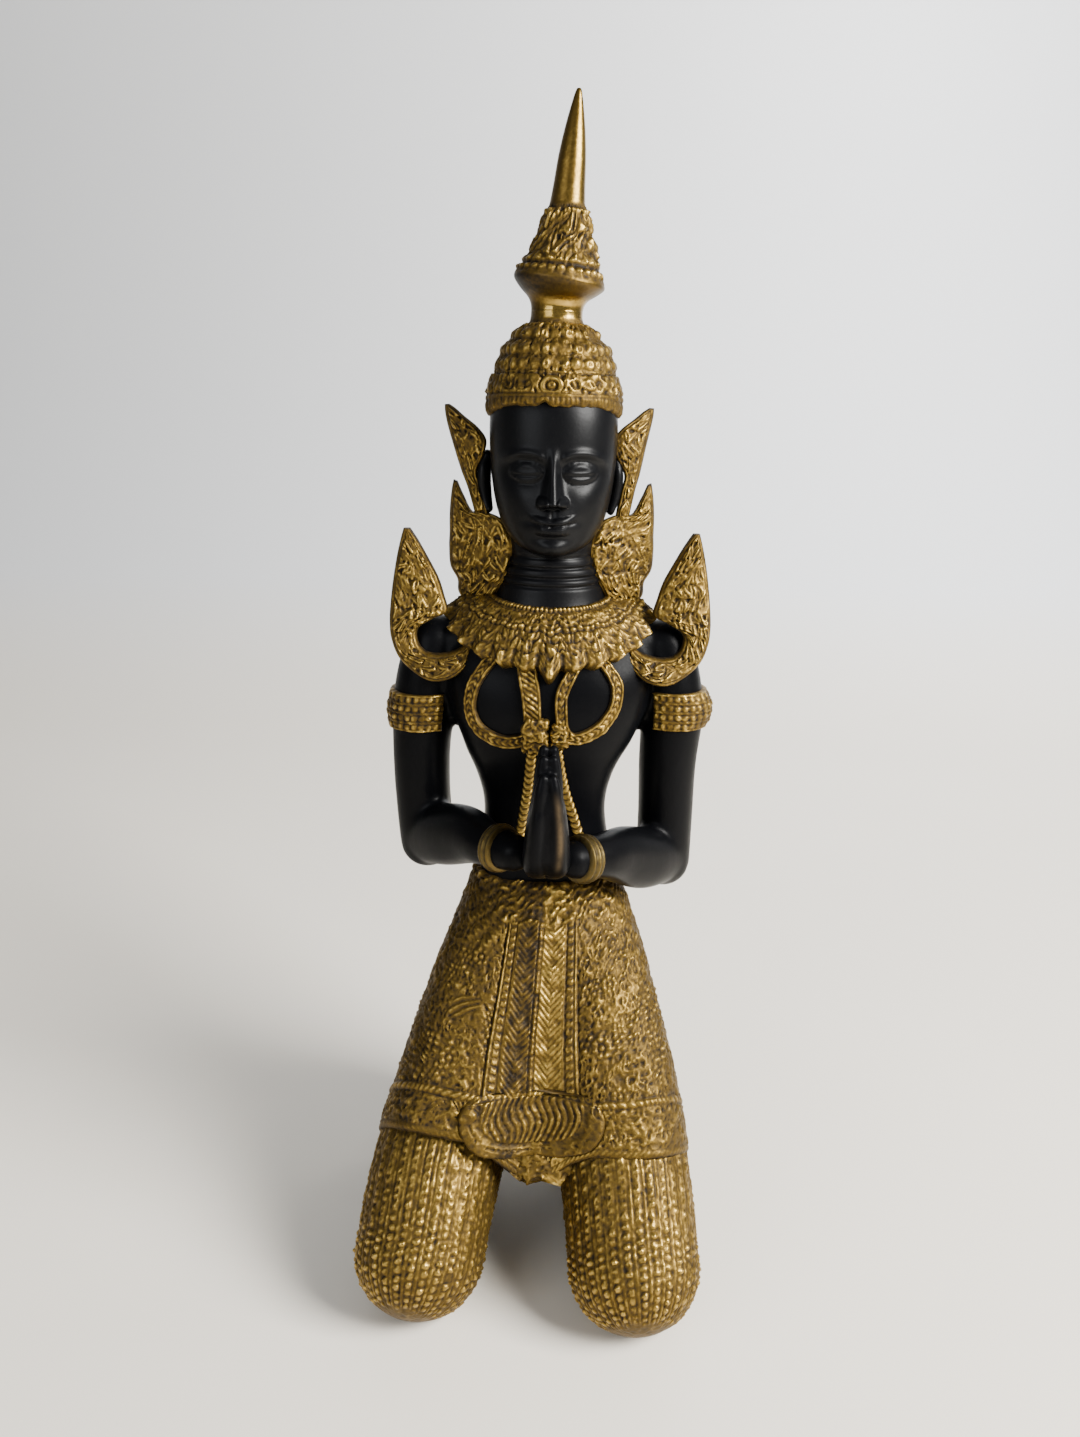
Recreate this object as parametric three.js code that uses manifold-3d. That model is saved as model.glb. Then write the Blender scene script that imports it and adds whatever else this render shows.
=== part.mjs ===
// Kneeling deva with its hands pressed together, one hollow casting in black and gilt
import * as THREE from "three";
import { mergeVertices } from "three/addons/utils/BufferGeometryUtils.js";
import Module from "manifold-3d";

const wasm = await Module();
wasm.setup();

// Driving sizes in millimetres: X to the viewer's right, -Y to the front, +Z up, the ground at Z 0.
// Lists of sizes run as their comment says, and are joined by smooth curves.
const MIDDLE = { x: 0, y: 32 }; // where the torso's plumb line stands, so that the box is centred
const SINK = 1.6; // how far the knees and shins are let into the ground plane, for flats to rest on

// The middle of the figure moves sideways with height: [height, sideways]
const LEAN = [[0, -1.2], [40, -1], [85, 2], [125, 3.6], [180, 4.8], [230, 3.2], [255, 2.8],
  [285, 4], [440, 3.6], [475, 4.4], [512, 7.4], [560, 11.4]];

// Level rings: [height, half width, half depth, middle's depth]
const TORSO = [[168, 41, 33, 0], [186, 40, 31, 0], [206, 34, 26, -1], [228, 31, 24, -2],
  [246, 34.6, 26, -3], [264, 42.6, 29.5, -4], [282, 49, 32, -4], [300, 52, 31.5, -2],
  [314, 50, 27, 1], [325, 40, 23, 3], [333, 29, 21, 3]];
const NECK = [[322, 29, 24, 3], [331, 24.5, 22, 3], [341, 22.8, 21, 2.5], [352, 22, 21, 1.5],
  [364, 22, 22, 0]];
const HEAD = [[357, 9, 13, -16], [361, 17, 21, -9], [368, 23, 27, -4], [378, 26.6, 30.5, -1.5],
  [392, 28.8, 32, 0], [408, 30.4, 33, 0], [424, 30.8, 33, 0], [440, 25, 28, 0]];
const WRISTED_HANDS = [[209, 7, 7, -66], [215, 11.5, 11, -69], [226, 12, 13.5, -72],
  [240, 10.6, 14, -73.5], [254, 8.2, 13.5, -74.5], [266, 5.8, 11, -75], [273, 4, 7, -75.5],
  [276, 1.6, 3, -76]];

// Limbs: [sideways, depth, height, half width, other half width]
const UPPER_ARM = [[58.5, 1, 308, 13.4, 15.5], [61, 0, 296, 14.8, 17], [62.8, 0, 278, 15.6, 17],
  [63, 1, 254, 14.6, 16], [63, 3, 228, 14.2, 15], [62, 4, 203.5, 14.2, 14.4]];
const FOREARM = [[62, 3, 206.5, 13.6, 14.6], [50, -16, 214.5, 13.6, 15.9], [37, -36, 222, 12, 14.2],
  [27, -52, 224, 10.2, 10.8], [14, -65, 225, 8.8, 9]];
const ARM_DROP = [0, 0.4, 1.6, 4, 6.6, 8]; // how much lower the arm hangs on the viewer's right
const FOREARM_DROP = [8, 10.6, 8.2, 3.4, 1];
const YOKE = [[-58, 1, 307, 13, 12], [-36, 2, 315, 17, 13], [0, 3, 318, 19, 14],
  [36, 2, 315, 17, 13], [58, 1, 307, 13, 12]];
const THIGH = [[24, 8, 122, 30, 32], [33, -22, 101, 32, 32], [41, -52, 78, 31, 32],
  [47.5, -79, 55, 31, 31], [51.6, -102, 30.5 - SINK, 30.5, 30.5]];
const LEFT_KNEE_BACK = 6; // the knee on the viewer's left stands this much further back
const SHIN = [[51, -98, 27 - SINK, 27, 27], [48.5, -60, 25.5 - SINK, 25, 25.5],
  [44, -20, 23.5 - SINK, 22.5, 23.5], [39, 14, 23, 18, 20], [35.5, 36, 27, 14, 15.5],
  [34, 50, 31, 12, 13]];
const FOOT = [[33, 53, 50, 10.5, 11], [33.5, 53, 39, 12.5, 14], [34.5, 55, 27, 13, 13.5],
  [35.5, 57, 14, 14.2, 12], [36, 55, 8, 14.5, 12]];
const TOES = [[36, 60, 7, 13.5, 7.4], [36, 48, 5, 14, 5.6], [36.5, 35, 4.2, 12, 4.8]];
const NOSE = [[0, -31.5, 403, 2.2, 3], [0, -34.3, 393, 2.8, 3.4], [0, -35.6, 384.6, 4, 3.6]];
const LIPS = [[-8, -29.4, 374.6, 2.2, 1.4], [0, -32, 374, 3.4, 2.4], [8, -29.4, 374.6, 2.2, 1.4]];
const EAR = [[30, 3, 402, 3, 4], [31.5, 4, 391, 4, 6.5], [30, 1, 378, 3, 3.6]];

// Crown, turned: [radius, height] from the brow rim up to the tip
const CROWN = [[0, 423], [29, 423], [31.6, 423.4], [33, 425.4], [32.4, 428], [30.6, 431.5],
  [30.2, 436], [28.9, 440.2], [28, 443.6], [25.2, 445.4], [24.2, 449.4], [21.2, 451.4],
  [20, 455], [17, 457.4], [15.6, 461], [12.4, 463.4], [11.1, 466], [11.9, 470], [14, 473.4],
  [18, 476], [20.3, 479.4], [18.6, 483], [15.6, 486.4], [14, 494], [12, 503], [9.8, 511],
  [8.2, 513], [7, 522], [5, 540], [1.6, 558.6], [0, 560]];
// The flange hangs lower on the viewer's right, by a share of its width that fades with height
const FLANGE = { z: 481, drop: 0.1, reach: 14 };

// Flat ornaments, as outlines: [sideways from the figure's middle, height]
const TIP_LEAN = { from: 370, over: 50, shift: -2.2 }; // the upper flames lean to the viewer's left
const EAR_FLAME = [[29.5, 403], [29.6, 410], [32.3, 414], [39.5, 418.6], [46, 422.8],
  [49.8, 424.2], [49.4, 417], [46, 404], [42.4, 391], [38.9, 380], [35.8, 368], [30, 368],
  [31, 377], [33.2, 385], [36, 394.5], [34.6, 401.4]];
const EAR_LEAF = [[35, 326], [46.8, 333.6], [45.6, 340], [50.2, 347], [50.8, 357],
  [50.3, 368], [49.4, 380], [47.4, 388.6], [43.4, 382], [39.4, 374.4], [36, 368.6],
  [31, 377.4], [27.6, 377.4], [24, 373], [20.8, 362], [21.2, 352], [24.2, 342], [28, 334]];
const SHOULDER_FLAME = [[43.4, 301], [47, 296.4], [56.5, 295.2], [65.4, 298.6], [72, 305.8],
  [75.6, 314], [76.2, 322.4], [75.6, 334.6], [73, 349], [70.8, 361.6], [69.2, 366.2],
  [64.4, 360], [58.8, 351.6], [54.4, 343], [51.6, 333], [49.6, 327], [56, 324.6],
  [61.8, 322], [65, 317], [63, 311.4], [55, 308.8], [47.4, 312], [44, 308.6]];
const FLAME_THICK = 5;
const EAR_SWEEP = { middle: 35, depth: 3, slope: 0.5 }; // the ear ornaments run back as they go out
// The shoulder ornament comes forward as it drops, and again as it turns in to the collar
const SHOULDER_SWEEP = { top: 366, drop: 70, depth: -2, forward: 14, outer: 77, inward: 33,
  turnTop: 330, turnDrop: 34, turn: 7 };

// Chest loops on the front of the torso: [sideways, height], one for each side
const CHEST_LOOP = [[8, 270], [22.6, 269], [33, 275], [37, 287], [33.6, 298], [24, 306],
  [14.4, 304], [8, 294], [6.6, 280]];
const LOOP_BAND = { across: 3.3, deep: 2.4, shift: -2 };
const CHAIN = [[7.5, 268], [9, 250], [13, 230], [18, 212]];
const CHAIN_BAND = { across: 2.6, deep: 2.2 };

// Collar: half widths and depths of its neck edge and of its leafy edge, with their heights
const COLLAR = {
  neck: { wide: 26, front: -20.5, back: 25, sideZ: 336, frontZ: 332, backZ: 337 },
  edge: { wide: 52, front: -36.5, back: 28, sideZ: 328, frontZ: 304.5, backZ: 306 },
  round: 0.75, // how soon its height turns from the side's to the front's
  bulge: 3,
  leaves: 18,
  leafDepth: 3.2,
  point: 4,
  thick: 3.4,
  belly: 2.4,
  sunk: 8,
  tilt: 0.8, // how much its thickness faces up rather than out
};

// Skirt: its waist ring, and half of its hem from the front round to the back, mirrored
const WAIST = { z: 184, wide: 41.5, deep: 33, y: -1 };
const HEM = [[0, -89, 60], [15, -91, 62], [28, -95, 77], [44, -96, 86], [61, -92, 85],
  [75, -74, 74], [79, -50, 58], [72, -18, 47], [54, 20, 47], [27, 50, 55], [0, 57, 58]];
// How far the skirt stands out from a straight run down to its hem: behind, in front and beside
const SWELL = { seat: 15, lap: 4, hip: 3, seatSide: 6, rearFrom: 0.45, rearOver: 0.35, power: 0.8 };
// Slabs on the skirt run from fall to fall, and are rooted in it
const PANEL = { top: 0.04, bottom: 0.9, topHalf: 15.5, bottomHalf: 23, leftShare: 1.12,
  rightShare: 0.92, thick: 2, rows: 8, columns: 6 };
const APRON = { top: 0.82, bottom: 0.985, half: 34, widest: 0.25, round: 0.6, thick: 3.4, rows: 4,
  columns: 8 };
const SLAB_ROOT = 3;
const TURN_WIDTH = 330; // length once round the skirt, for widths laid on it

const HAND_X = 5.6; // the pressed palms stand a little right of the middle
const ARMBAND = { low: 268, high: 287, proud: 1.7, edge: 0.4, bevel: 0.15, rightLift: 3 };
const BRACELET = { at: 0.86, ring: 11.2, ridge: 1.2, tube: 2.6 };

// Corners of each ring, which set how finely the shapes are cut
const SIDES = { torso: 20, neck: 14, head: 18, hands: 12, arm: 14, forearm: 12, thigh: 18, shin: 12,
  foot: 9, face: 8, yoke: 10, band: 5, crown: 16, skirt: 36, skirtRings: 8, loop: 14 };
// How square each ring is, as the power of its outline: 2 is an oval
const SQUARE = { torso: 2.4, neck: 2, head: 2.15, hands: 2.6, foot: 2.4, toes: 2.6 };
const MERGE = 1e-3; // corners closer than this are one

const V = (x, y, z) => new THREE.Vector3(x, y, z);
const mix = THREE.MathUtils.lerp;
const fade = (t) => THREE.MathUtils.smoothstep(t, 0, 1);

// A point of a uniform smooth curve through rows of numbers, at t from 0 to the last row
function along(rows, t) {
  const last = rows.length - 1;
  const i = Math.min(Math.floor(t), last - 1);
  const f = t - i;
  const row = (k) => rows[Math.max(0, Math.min(last, k))];
  return rows[0].map((_, k) => {
    const [a, b, c, d] = [row(i - 1)[k], row(i)[k], row(i + 1)[k], row(i + 2)[k]];
    return b + 0.5 * f * (c - a + f * (2 * a - 5 * b + 4 * c - d + f * (3 * (b - c) + d - a)));
  });
}

// The same curve cut into equal steps of each span
function resample(rows, steps) {
  const count = (rows.length - 1) * steps;
  return Array.from({ length: count + 1 }, (_, i) => along(rows, i / steps));
}

// Rows looked up by their first number, which rises from row to row
function lookup(rows, key) {
  const last = rows.length - 1;
  let i = rows.findIndex((row) => row[0] >= key);
  i = i < 0 ? last : Math.max(1, i);
  const t = THREE.MathUtils.clamp((key - rows[i - 1][0]) / (rows[i][0] - rows[i - 1][0]), 0, 1);
  return rows[i].map((value, k) => mix(rows[i - 1][k], value, t));
}

const middleX = (z) => lookup(LEAN, z)[1];

// A solid from points and triangles, turned outwards if they face inwards
function solidFrom(points, faces) {
  const volume = faces.reduce((sum, [a, b, c]) =>
    sum + points[a].dot(V(0, 0, 0).crossVectors(points[b], points[c])), 0);
  const facing = volume < 0 ? faces.map(([a, b, c]) => [a, c, b]) : faces;
  return new wasm.Manifold(new wasm.Mesh({
    numProp: 3,
    vertProperties: new Float32Array(points.flatMap((p) => [p.x, p.y, p.z])),
    triVerts: new Uint32Array(facing.flat()),
  }));
}

// Rings of equal length joined into a skin, looped end to end or closed by a fan over each end
function skin(rings, looped = false) {
  const sides = rings[0].length;
  const points = rings.flat();
  const faces = [];
  for (let i = 0; i < rings.length - (looped ? 0 : 1); i++) {
    const next = (i + 1) % rings.length;
    for (let j = 0; j < sides; j++) {
      const k = (j + 1) % sides;
      faces.push([i * sides + j, i * sides + k, next * sides + k]);
      faces.push([i * sides + j, next * sides + k, next * sides + j]);
    }
  }
  if (looped) return solidFrom(points, faces);
  for (const [end, turn] of [[0, 1], [rings.length - 1, 0]]) {
    const hub = points.length;
    const middle = rings[end].reduce((sum, p) => sum.add(p), V(0, 0, 0)).divideScalar(sides);
    points.push(middle);
    for (let j = 0; j < sides; j++) {
      const pair = [end * sides + j, end * sides + ((j + 1) % sides)];
      faces.push([hub, pair[turn], pair[1 - turn]]);
    }
  }
  return solidFrom(points, faces);
}

// A ring about a point: a rounded square or an oval, by its power, in the plane of two directions
function ring(at, across, deep, a, b, sides, power = 2) {
  return Array.from({ length: sides }, (_, i) => {
    const angle = (2 * Math.PI * i) / sides;
    const [c, s] = [Math.cos(angle), Math.sin(angle)];
    const x = a * Math.sign(c) * Math.abs(c) ** (2 / power);
    const y = b * Math.sign(s) * Math.abs(s) ** (2 / power);
    return at.clone().addScaledVector(across, x).addScaledVector(deep, y);
  });
}

// Level rings over the figure's middle, or over another line given by its sideways place
function levelLoft(rows, sides, power, place = middleX) {
  return skin(rows.map(([z, a, b, y]) =>
    ring(V(place(z), y, z), V(1, 0, 0), V(0, 1, 0), a, b, sides, power)));
}

// A limb: rings square to its path, with each end rounded off by a number of smaller rings
function limb(rows, sides, upright, [first, last] = [0, 0], power = 2) {
  const frames = rows.map(([x, y, z, a, b], i) => {
    const before = rows[Math.max(0, i - 1)];
    const after = rows[Math.min(rows.length - 1, i + 1)];
    const way = V(after[0] - before[0], after[1] - before[1], after[2] - before[2]).normalize();
    const across = V(0, 0, 0).crossVectors(way, upright).normalize();
    const deep = V(0, 0, 0).crossVectors(across, way).normalize();
    return { at: V(x, y, z), way, across, deep, a, b };
  });
  const rounding = (f, turn, count) => Array.from({ length: count }, (_, i) => {
    const angle = ((i + 1) / (count + 0.6)) * (Math.PI / 2);
    const out = turn * Math.min(f.a, f.b) * Math.sin(angle);
    const at = f.at.clone().addScaledVector(f.way, out);
    return ring(at, f.across, f.deep, f.a * Math.cos(angle), f.b * Math.cos(angle), sides, power);
  });
  return skin([
    ...rounding(frames[0], -1, first).reverse(),
    ...frames.map((f) => ring(f.at, f.across, f.deep, f.a, f.b, sides, power)),
    ...rounding(frames[frames.length - 1], 1, last),
  ]);
}

// Rows of a limb on one side of the figure: -1 is the viewer's left
function onSide(rows, side, shift = () => 0) {
  return rows.map(([x, y, z, ...sizes], i) =>
    [middleX(z) + side * x, y, z - shift(i), ...sizes]);
}

// A solid from a closed geometry, each of its corners moved by a function
function solidOf(geometry, move) {
  geometry.deleteAttribute("normal");
  geometry.deleteAttribute("uv");
  const merged = mergeVertices(geometry, MERGE);
  const at = merged.getAttribute("position");
  const points = Array.from({ length: at.count }, (_, i) => move(at.getX(i), at.getY(i), at.getZ(i)));
  const index = Array.from(merged.index.array);
  const faces = Array.from({ length: index.length / 3 }, (_, i) => index.slice(3 * i, 3 * i + 3));
  return solidFrom(points, faces.filter(([a, b, c]) => a !== b && b !== c && c !== a));
}

// A flat ornament from an outline, stood upright and swept in depth by a function
function plate(outline, side, depthOf, tipShift = 0) {
  const shape = new THREE.Shape(outline.map(([x, z]) => new THREE.Vector2(x, z)));
  const flat = new THREE.ExtrudeGeometry(shape, { depth: FLAME_THICK, bevelEnabled: false });
  return solidOf(flat, (x, z, y) => {
    const shift = middleX(z) + tipShift * fade((z - TIP_LEAN.from) / TIP_LEAN.over);
    return V(shift + side * x, depthOf(x, z) + y - FLAME_THICK / 2, z);
  });
}

// The front of the torso at a place across and up
function chestY(x, z) {
  const [, a, b, y] = lookup(resample(TORSO, 4), z);
  const share = Math.min(0.96, Math.abs(x - middleX(z)) / a);
  return y - b * Math.sqrt(1 - share ** SQUARE.torso);
}

// A band laid on the chest along points across and up, looped or open, and standing mostly proud
function chestBand(places, looped, { across, deep }) {
  const points = places.map(([x, z]) => V(x, chestY(x, z) - 0.3 * deep, z));
  const rings = points.map((at, i) => {
    const last = points.length - 1;
    const before = points[looped ? (i + last) % points.length : Math.max(0, i - 1)];
    const after = points[looped ? (i + 1) % points.length : Math.min(last, i + 1)];
    const way = after.clone().sub(before).normalize();
    const side = V(0, 0, 0).crossVectors(way, V(0, 1, 0)).normalize();
    const out = V(0, 0, 0).crossVectors(side, way).normalize();
    return ring(at, side, out, across, deep, SIDES.band);
  });
  return skin(rings, looped);
}

// Skirt surface: round from the front by turn (0 to 1), down from the waist by fall (0 to 1)
function skirtPoint(turn, fall) {
  const half = turn <= 0.5 ? turn * 2 : (1 - turn) * 2;
  const side = turn <= 0.5 ? 1 : -1;
  const angle = half * Math.PI;
  const top = V(side * WAIST.wide * Math.sin(angle), WAIST.y - WAIST.deep * Math.cos(angle), WAIST.z);
  const [hx, hy, hz] = along(HEM, half * (HEM.length - 1));
  const at = top.lerp(V(side * hx, hy, hz), fall);
  const swell = Math.sin(Math.PI * Math.min(1, fall)) ** SWELL.power;
  const rear = fade((half - SWELL.rearFrom) / SWELL.rearOver);
  at.y += swell * mix(-SWELL.lap, SWELL.seat, rear);
  at.x += side * swell * Math.sin(angle) * mix(SWELL.hip, SWELL.seatSide, rear);
  at.x += middleX(at.z);
  return at;
}

// The direction straight out of the skirt
function skirtOut(turn, fall) {
  const step = 0.01;
  const round = skirtPoint((turn + step) % 1, fall).sub(skirtPoint((turn + 1 - step) % 1, fall));
  const down = skirtPoint(turn, fall + step).sub(skirtPoint(turn, fall - step));
  return V(0, 0, 0).crossVectors(down, round).normalize();
}

// A slab laid on the skirt, with its half width at each fall given by a function
function skirtSlab({ top, bottom, thick, rows, columns }, halfAt) {
  const rings = Array.from({ length: rows + 1 }, (_, i) => {
    const fall = mix(top, bottom, i / rows);
    const outer = [];
    const inner = [];
    for (let j = 0; j <= columns; j++) {
      const across = (2 * j) / columns - 1;
      const turn = ((across * halfAt(fall, across)) / TURN_WIDTH + 1) % 1;
      const at = skirtPoint(turn, fall);
      const out = skirtOut(turn, fall);
      outer.push(at.clone().addScaledVector(out, thick));
      inner.push(at.clone().addScaledVector(out, -SLAB_ROOT));
    }
    return [...outer, ...inner.reverse()];
  });
  return skin(rings);
}

// Rows moved sideways together, to the figure's middle at the second row's height
function centred(rows, side = 1) {
  const middle = middleX(rows[1][2]);
  return rows.map(([x, ...rest]) => [middle + side * x, ...rest]);
}

function body() {
  return [
    levelLoft(TORSO, SIDES.torso, SQUARE.torso),
    levelLoft(NECK, SIDES.neck, SQUARE.neck),
    levelLoft(HEAD, SIDES.head, SQUARE.head),
    levelLoft(WRISTED_HANDS, SIDES.hands, SQUARE.hands, () => HAND_X),
    limb(centred(NOSE), SIDES.face, V(0, 1, 0)),
    limb(centred(LIPS), SIDES.face, V(0, 0, 1)),
    limb(centred(YOKE), SIDES.yoke, V(0, 0, 1)),
  ];
}

// A ring round the wrist, with a low ridge
function bracelet(fore) {
  const place = BRACELET.at * (fore.length - 1);
  const wrist = V(...along(fore, place));
  const way = wrist.clone().sub(V(...along(fore, place - 0.4))).normalize();
  const across = V(0, 0, 0).crossVectors(way, V(0, 0, 1)).normalize();
  const deep = V(0, 0, 0).crossVectors(across, way);
  const rings = [-1, 0, 1].map((step) => {
    const radius = BRACELET.ring + (step === 0 ? BRACELET.ridge : 0);
    const at = wrist.clone().addScaledVector(way, step * BRACELET.tube);
    return ring(at, across, deep, radius, radius, SIDES.arm);
  });
  return skin(rings);
}

// A band round the upper arm, bevelled at its edges
function armband(upper, lift) {
  const byHeight = upper.map(([x, y, z, a, b]) => [z, y, x, a, b]).reverse();
  const { low, high, proud, edge, bevel } = ARMBAND;
  const rings = [[0, edge], [bevel, proud], [1 - bevel, proud], [1, edge]].map(([share, out]) => {
    const z = mix(low, high, share) + lift;
    const [, y, x, a, b] = lookup(byHeight, z);
    return ring(V(x, y, z), V(1, 0, 0), V(0, 1, 0), a + out, b + out, SIDES.arm);
  });
  return skin(rings);
}

function arm(side) {
  const dropped = side > 0 ? 1 : 0;
  const upper = onSide(UPPER_ARM, side, (i) => dropped * ARM_DROP[i]);
  const fore = onSide(FOREARM, side, (i) => dropped * FOREARM_DROP[i]);
  return [
    limb(upper, SIDES.arm, V(0, 1, 0), [2, 1]),
    limb(fore, SIDES.forearm, V(0, 0, 1), [1, 0]),
    bracelet(fore),
    armband(upper, dropped * ARMBAND.rightLift),
  ];
}

function leg(side) {
  const back = side < 0 ? LEFT_KNEE_BACK : 0;
  const kneeBack = (rows, share) => rows.map(([x, y, ...rest], i) =>
    [x, y + back * share(i), ...rest]);
  const thigh = kneeBack(onSide(THIGH, side), (i) => i / (THIGH.length - 1));
  const shin = kneeBack(onSide(SHIN, side), (i) => 1 - i / (SHIN.length - 1));
  return [
    limb(thigh, SIDES.thigh, V(0, 0, 1), [0, 4]),
    limb(shin, SIDES.shin, V(0, 0, 1)),
    limb(onSide(FOOT, side), SIDES.foot, V(0, 1, 0), [1, 1], SQUARE.foot),
    limb(onSide(TOES, side), SIDES.foot, V(0, 0, 1), [0, 1], SQUARE.toes),
  ];
}

function skirt() {
  const { skirt: columns, skirtRings: rows } = SIDES;
  const rings = Array.from({ length: rows + 1 }, (_, i) =>
    Array.from({ length: columns }, (_, j) => skirtPoint(j / columns, i / rows)));
  const panelHalf = (fall, across) =>
    mix(PANEL.topHalf, PANEL.bottomHalf, fall) * (across < 0 ? PANEL.leftShare : PANEL.rightShare);
  const apronHalf = (fall) => {
    const share = (fall - APRON.top) / (APRON.bottom - APRON.top);
    return APRON.half * Math.sqrt(Math.max(0.05, 1 - (share - APRON.widest) ** 2 / APRON.round));
  };
  return [
    skin(rings),
    skirtSlab(PANEL, panelHalf),
    skirtSlab(APRON, apronHalf),
  ];
}

function crown() {
  const turned = new THREE.LatheGeometry(CROWN.map(([r, z]) => new THREE.Vector2(r, z)), SIDES.crown);
  turned.rotateX(Math.PI / 2);
  return solidOf(turned, (x, y, z) => {
    const drop = FLANGE.drop * x * Math.max(0, 1 - Math.abs(z - FLANGE.z) / FLANGE.reach);
    return V(middleX(z) + x, y, z - drop);
  });
}

function earDepth(x) {
  return EAR_SWEEP.depth + EAR_SWEEP.slope * (x - EAR_SWEEP.middle);
}

function shoulderDepth(x, z) {
  const sweep = SHOULDER_SWEEP;
  const down = THREE.MathUtils.clamp((sweep.top - z) / sweep.drop, 0, 1);
  const inward = THREE.MathUtils.clamp((sweep.outer - x) / sweep.inward, 0, 1);
  const low = THREE.MathUtils.clamp((sweep.turnTop - z) / sweep.turnDrop, 0, 1);
  return sweep.depth - sweep.forward * down ** 1.3 - sweep.turn * inward * low;
}

function ornaments(side) {
  const placed = (rows) => rows.map(([x, z]) => [middleX(z) + LOOP_BAND.shift + side * x, z]);
  const closed = new THREE.CatmullRomCurve3(placed(CHEST_LOOP).map(([x, z]) => V(x, 0, z)), true);
  const loop = closed.getSpacedPoints(SIDES.loop + 1).slice(0, -1).map((p) => [p.x, p.z]);
  return [
    limb(centred(EAR, side), SIDES.face, V(0, 1, 0)),
    plate(EAR_FLAME, side, earDepth, TIP_LEAN.shift),
    plate(EAR_LEAF, side, earDepth),
    plate(SHOULDER_FLAME, side, shoulderDepth),
    chestBand(loop, true, LOOP_BAND),
    chestBand(placed(CHAIN), false, CHAIN_BAND),
  ];
}

// A point of one of the collar's two edges, by the sine and cosine of its place from the front
function collarEdge({ wide, front, back, sideZ, frontZ, backZ }, s, c) {
  const [depth, z] = c > 0 ? [front, frontZ] : [back, backZ];
  const end = Math.abs(c);
  return V(wide * s, mix(COLLAR.bulge, depth, end), mix(sideZ, z, end ** COLLAR.round));
}

// The collar is a ring of sections, its outer edge in and out by turns for the leaves
function collar() {
  const steps = COLLAR.leaves * 2;
  const sections = Array.from({ length: steps }, (_, i) => {
    const angle = (2 * Math.PI * i) / steps;
    const [s, c] = [Math.sin(angle), Math.cos(angle)];
    const inner = collarEdge(COLLAR.neck, s, c);
    const outer = collarEdge(COLLAR.edge, s, c);
    const leaf = (i === 0 ? COLLAR.point : 0) - (i % 2 ? COLLAR.leafDepth : 0);
    outer.addScaledVector(outer.clone().sub(inner).normalize(), leaf);
    const out = V(s, -c, COLLAR.tilt).normalize();
    const raised = (p, height) => {
      const moved = p.clone().addScaledVector(out, height);
      moved.x += middleX(p.z);
      return moved;
    };
    const belly = inner.clone().lerp(outer, 0.5);
    return [raised(inner, -COLLAR.sunk), raised(outer, -COLLAR.sunk), raised(outer, COLLAR.thick * 0.6),
      raised(belly, COLLAR.thick + COLLAR.belly), raised(inner, COLLAR.thick * 0.5)];
  });
  return skin(sections, true);
}

// Everything below the ground plane is cut away, which leaves flats under the knees and shins
function cutAtGround(solid) {
  const ground = new THREE.BoxGeometry(600, 600, 100);
  return solid.subtract(solidOf(ground, (x, y, z) => V(x, y, z - 50)));
}

function meshFrom(solid, name, material) {
  const made = solid.getMesh();
  const geometry = new THREE.BufferGeometry();
  geometry.setAttribute("position", new THREE.BufferAttribute(made.vertProperties, 3));
  geometry.setIndex(new THREE.BufferAttribute(made.triVerts, 1));
  const mesh = new THREE.Mesh(geometry, material);
  mesh.name = name;
  return mesh;
}

const gilt = new THREE.MeshStandardMaterial({ color: 0xb98d33, roughness: 0.42, metalness: 0.85 });

const pieces = [
  ...body(),
  ...[-1, 1].flatMap((side) => [...arm(side), ...leg(side), ...ornaments(side)]),
  ...skirt(),
  crown(),
  collar(),
];
const whole = cutAtGround(pieces.reduce((sum, piece) => sum.add(piece)));

const figure = new THREE.Group();
const statue = meshFrom(whole, "thepphanom_figure", gilt);
statue.position.set(MIDDLE.x, MIDDLE.y, 0);
figure.add(statue);

export default figure;
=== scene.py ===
"""A kneeling deva with its palms pressed together: black body, antique gold crown, ornaments and cloth.

Sizes are in millimetres in the figure's own frame: X to the viewer's right, -Y to the front, Z up, with the
torso's plumb line at X 0, Y 0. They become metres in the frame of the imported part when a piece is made.
"""
import math

import bpy
import numpy as np
from mathutils import Matrix, Vector


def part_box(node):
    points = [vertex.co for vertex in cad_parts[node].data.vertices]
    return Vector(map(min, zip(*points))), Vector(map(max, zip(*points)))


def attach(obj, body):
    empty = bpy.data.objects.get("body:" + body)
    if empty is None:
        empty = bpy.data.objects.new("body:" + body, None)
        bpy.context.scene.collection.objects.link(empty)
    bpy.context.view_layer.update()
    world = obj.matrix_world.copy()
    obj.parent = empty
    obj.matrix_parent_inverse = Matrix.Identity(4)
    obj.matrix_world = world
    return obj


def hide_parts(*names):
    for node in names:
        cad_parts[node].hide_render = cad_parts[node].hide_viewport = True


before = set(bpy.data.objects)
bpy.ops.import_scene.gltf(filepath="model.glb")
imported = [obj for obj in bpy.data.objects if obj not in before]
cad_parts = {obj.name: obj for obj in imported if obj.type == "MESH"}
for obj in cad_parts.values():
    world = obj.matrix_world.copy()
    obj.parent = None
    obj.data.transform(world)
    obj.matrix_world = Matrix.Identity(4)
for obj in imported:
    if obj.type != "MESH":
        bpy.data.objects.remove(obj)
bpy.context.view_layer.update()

bl_info = {
    "name": "Kneeling deva",
    "version": (1, 0, 0),
    "blender": (4, 5, 0),
    "location": "3D View > Sidebar > Deva",
    "description": "Builds a cast and gilt kneeling deva around its packed frame",
    "category": "Add Mesh",
}

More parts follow.
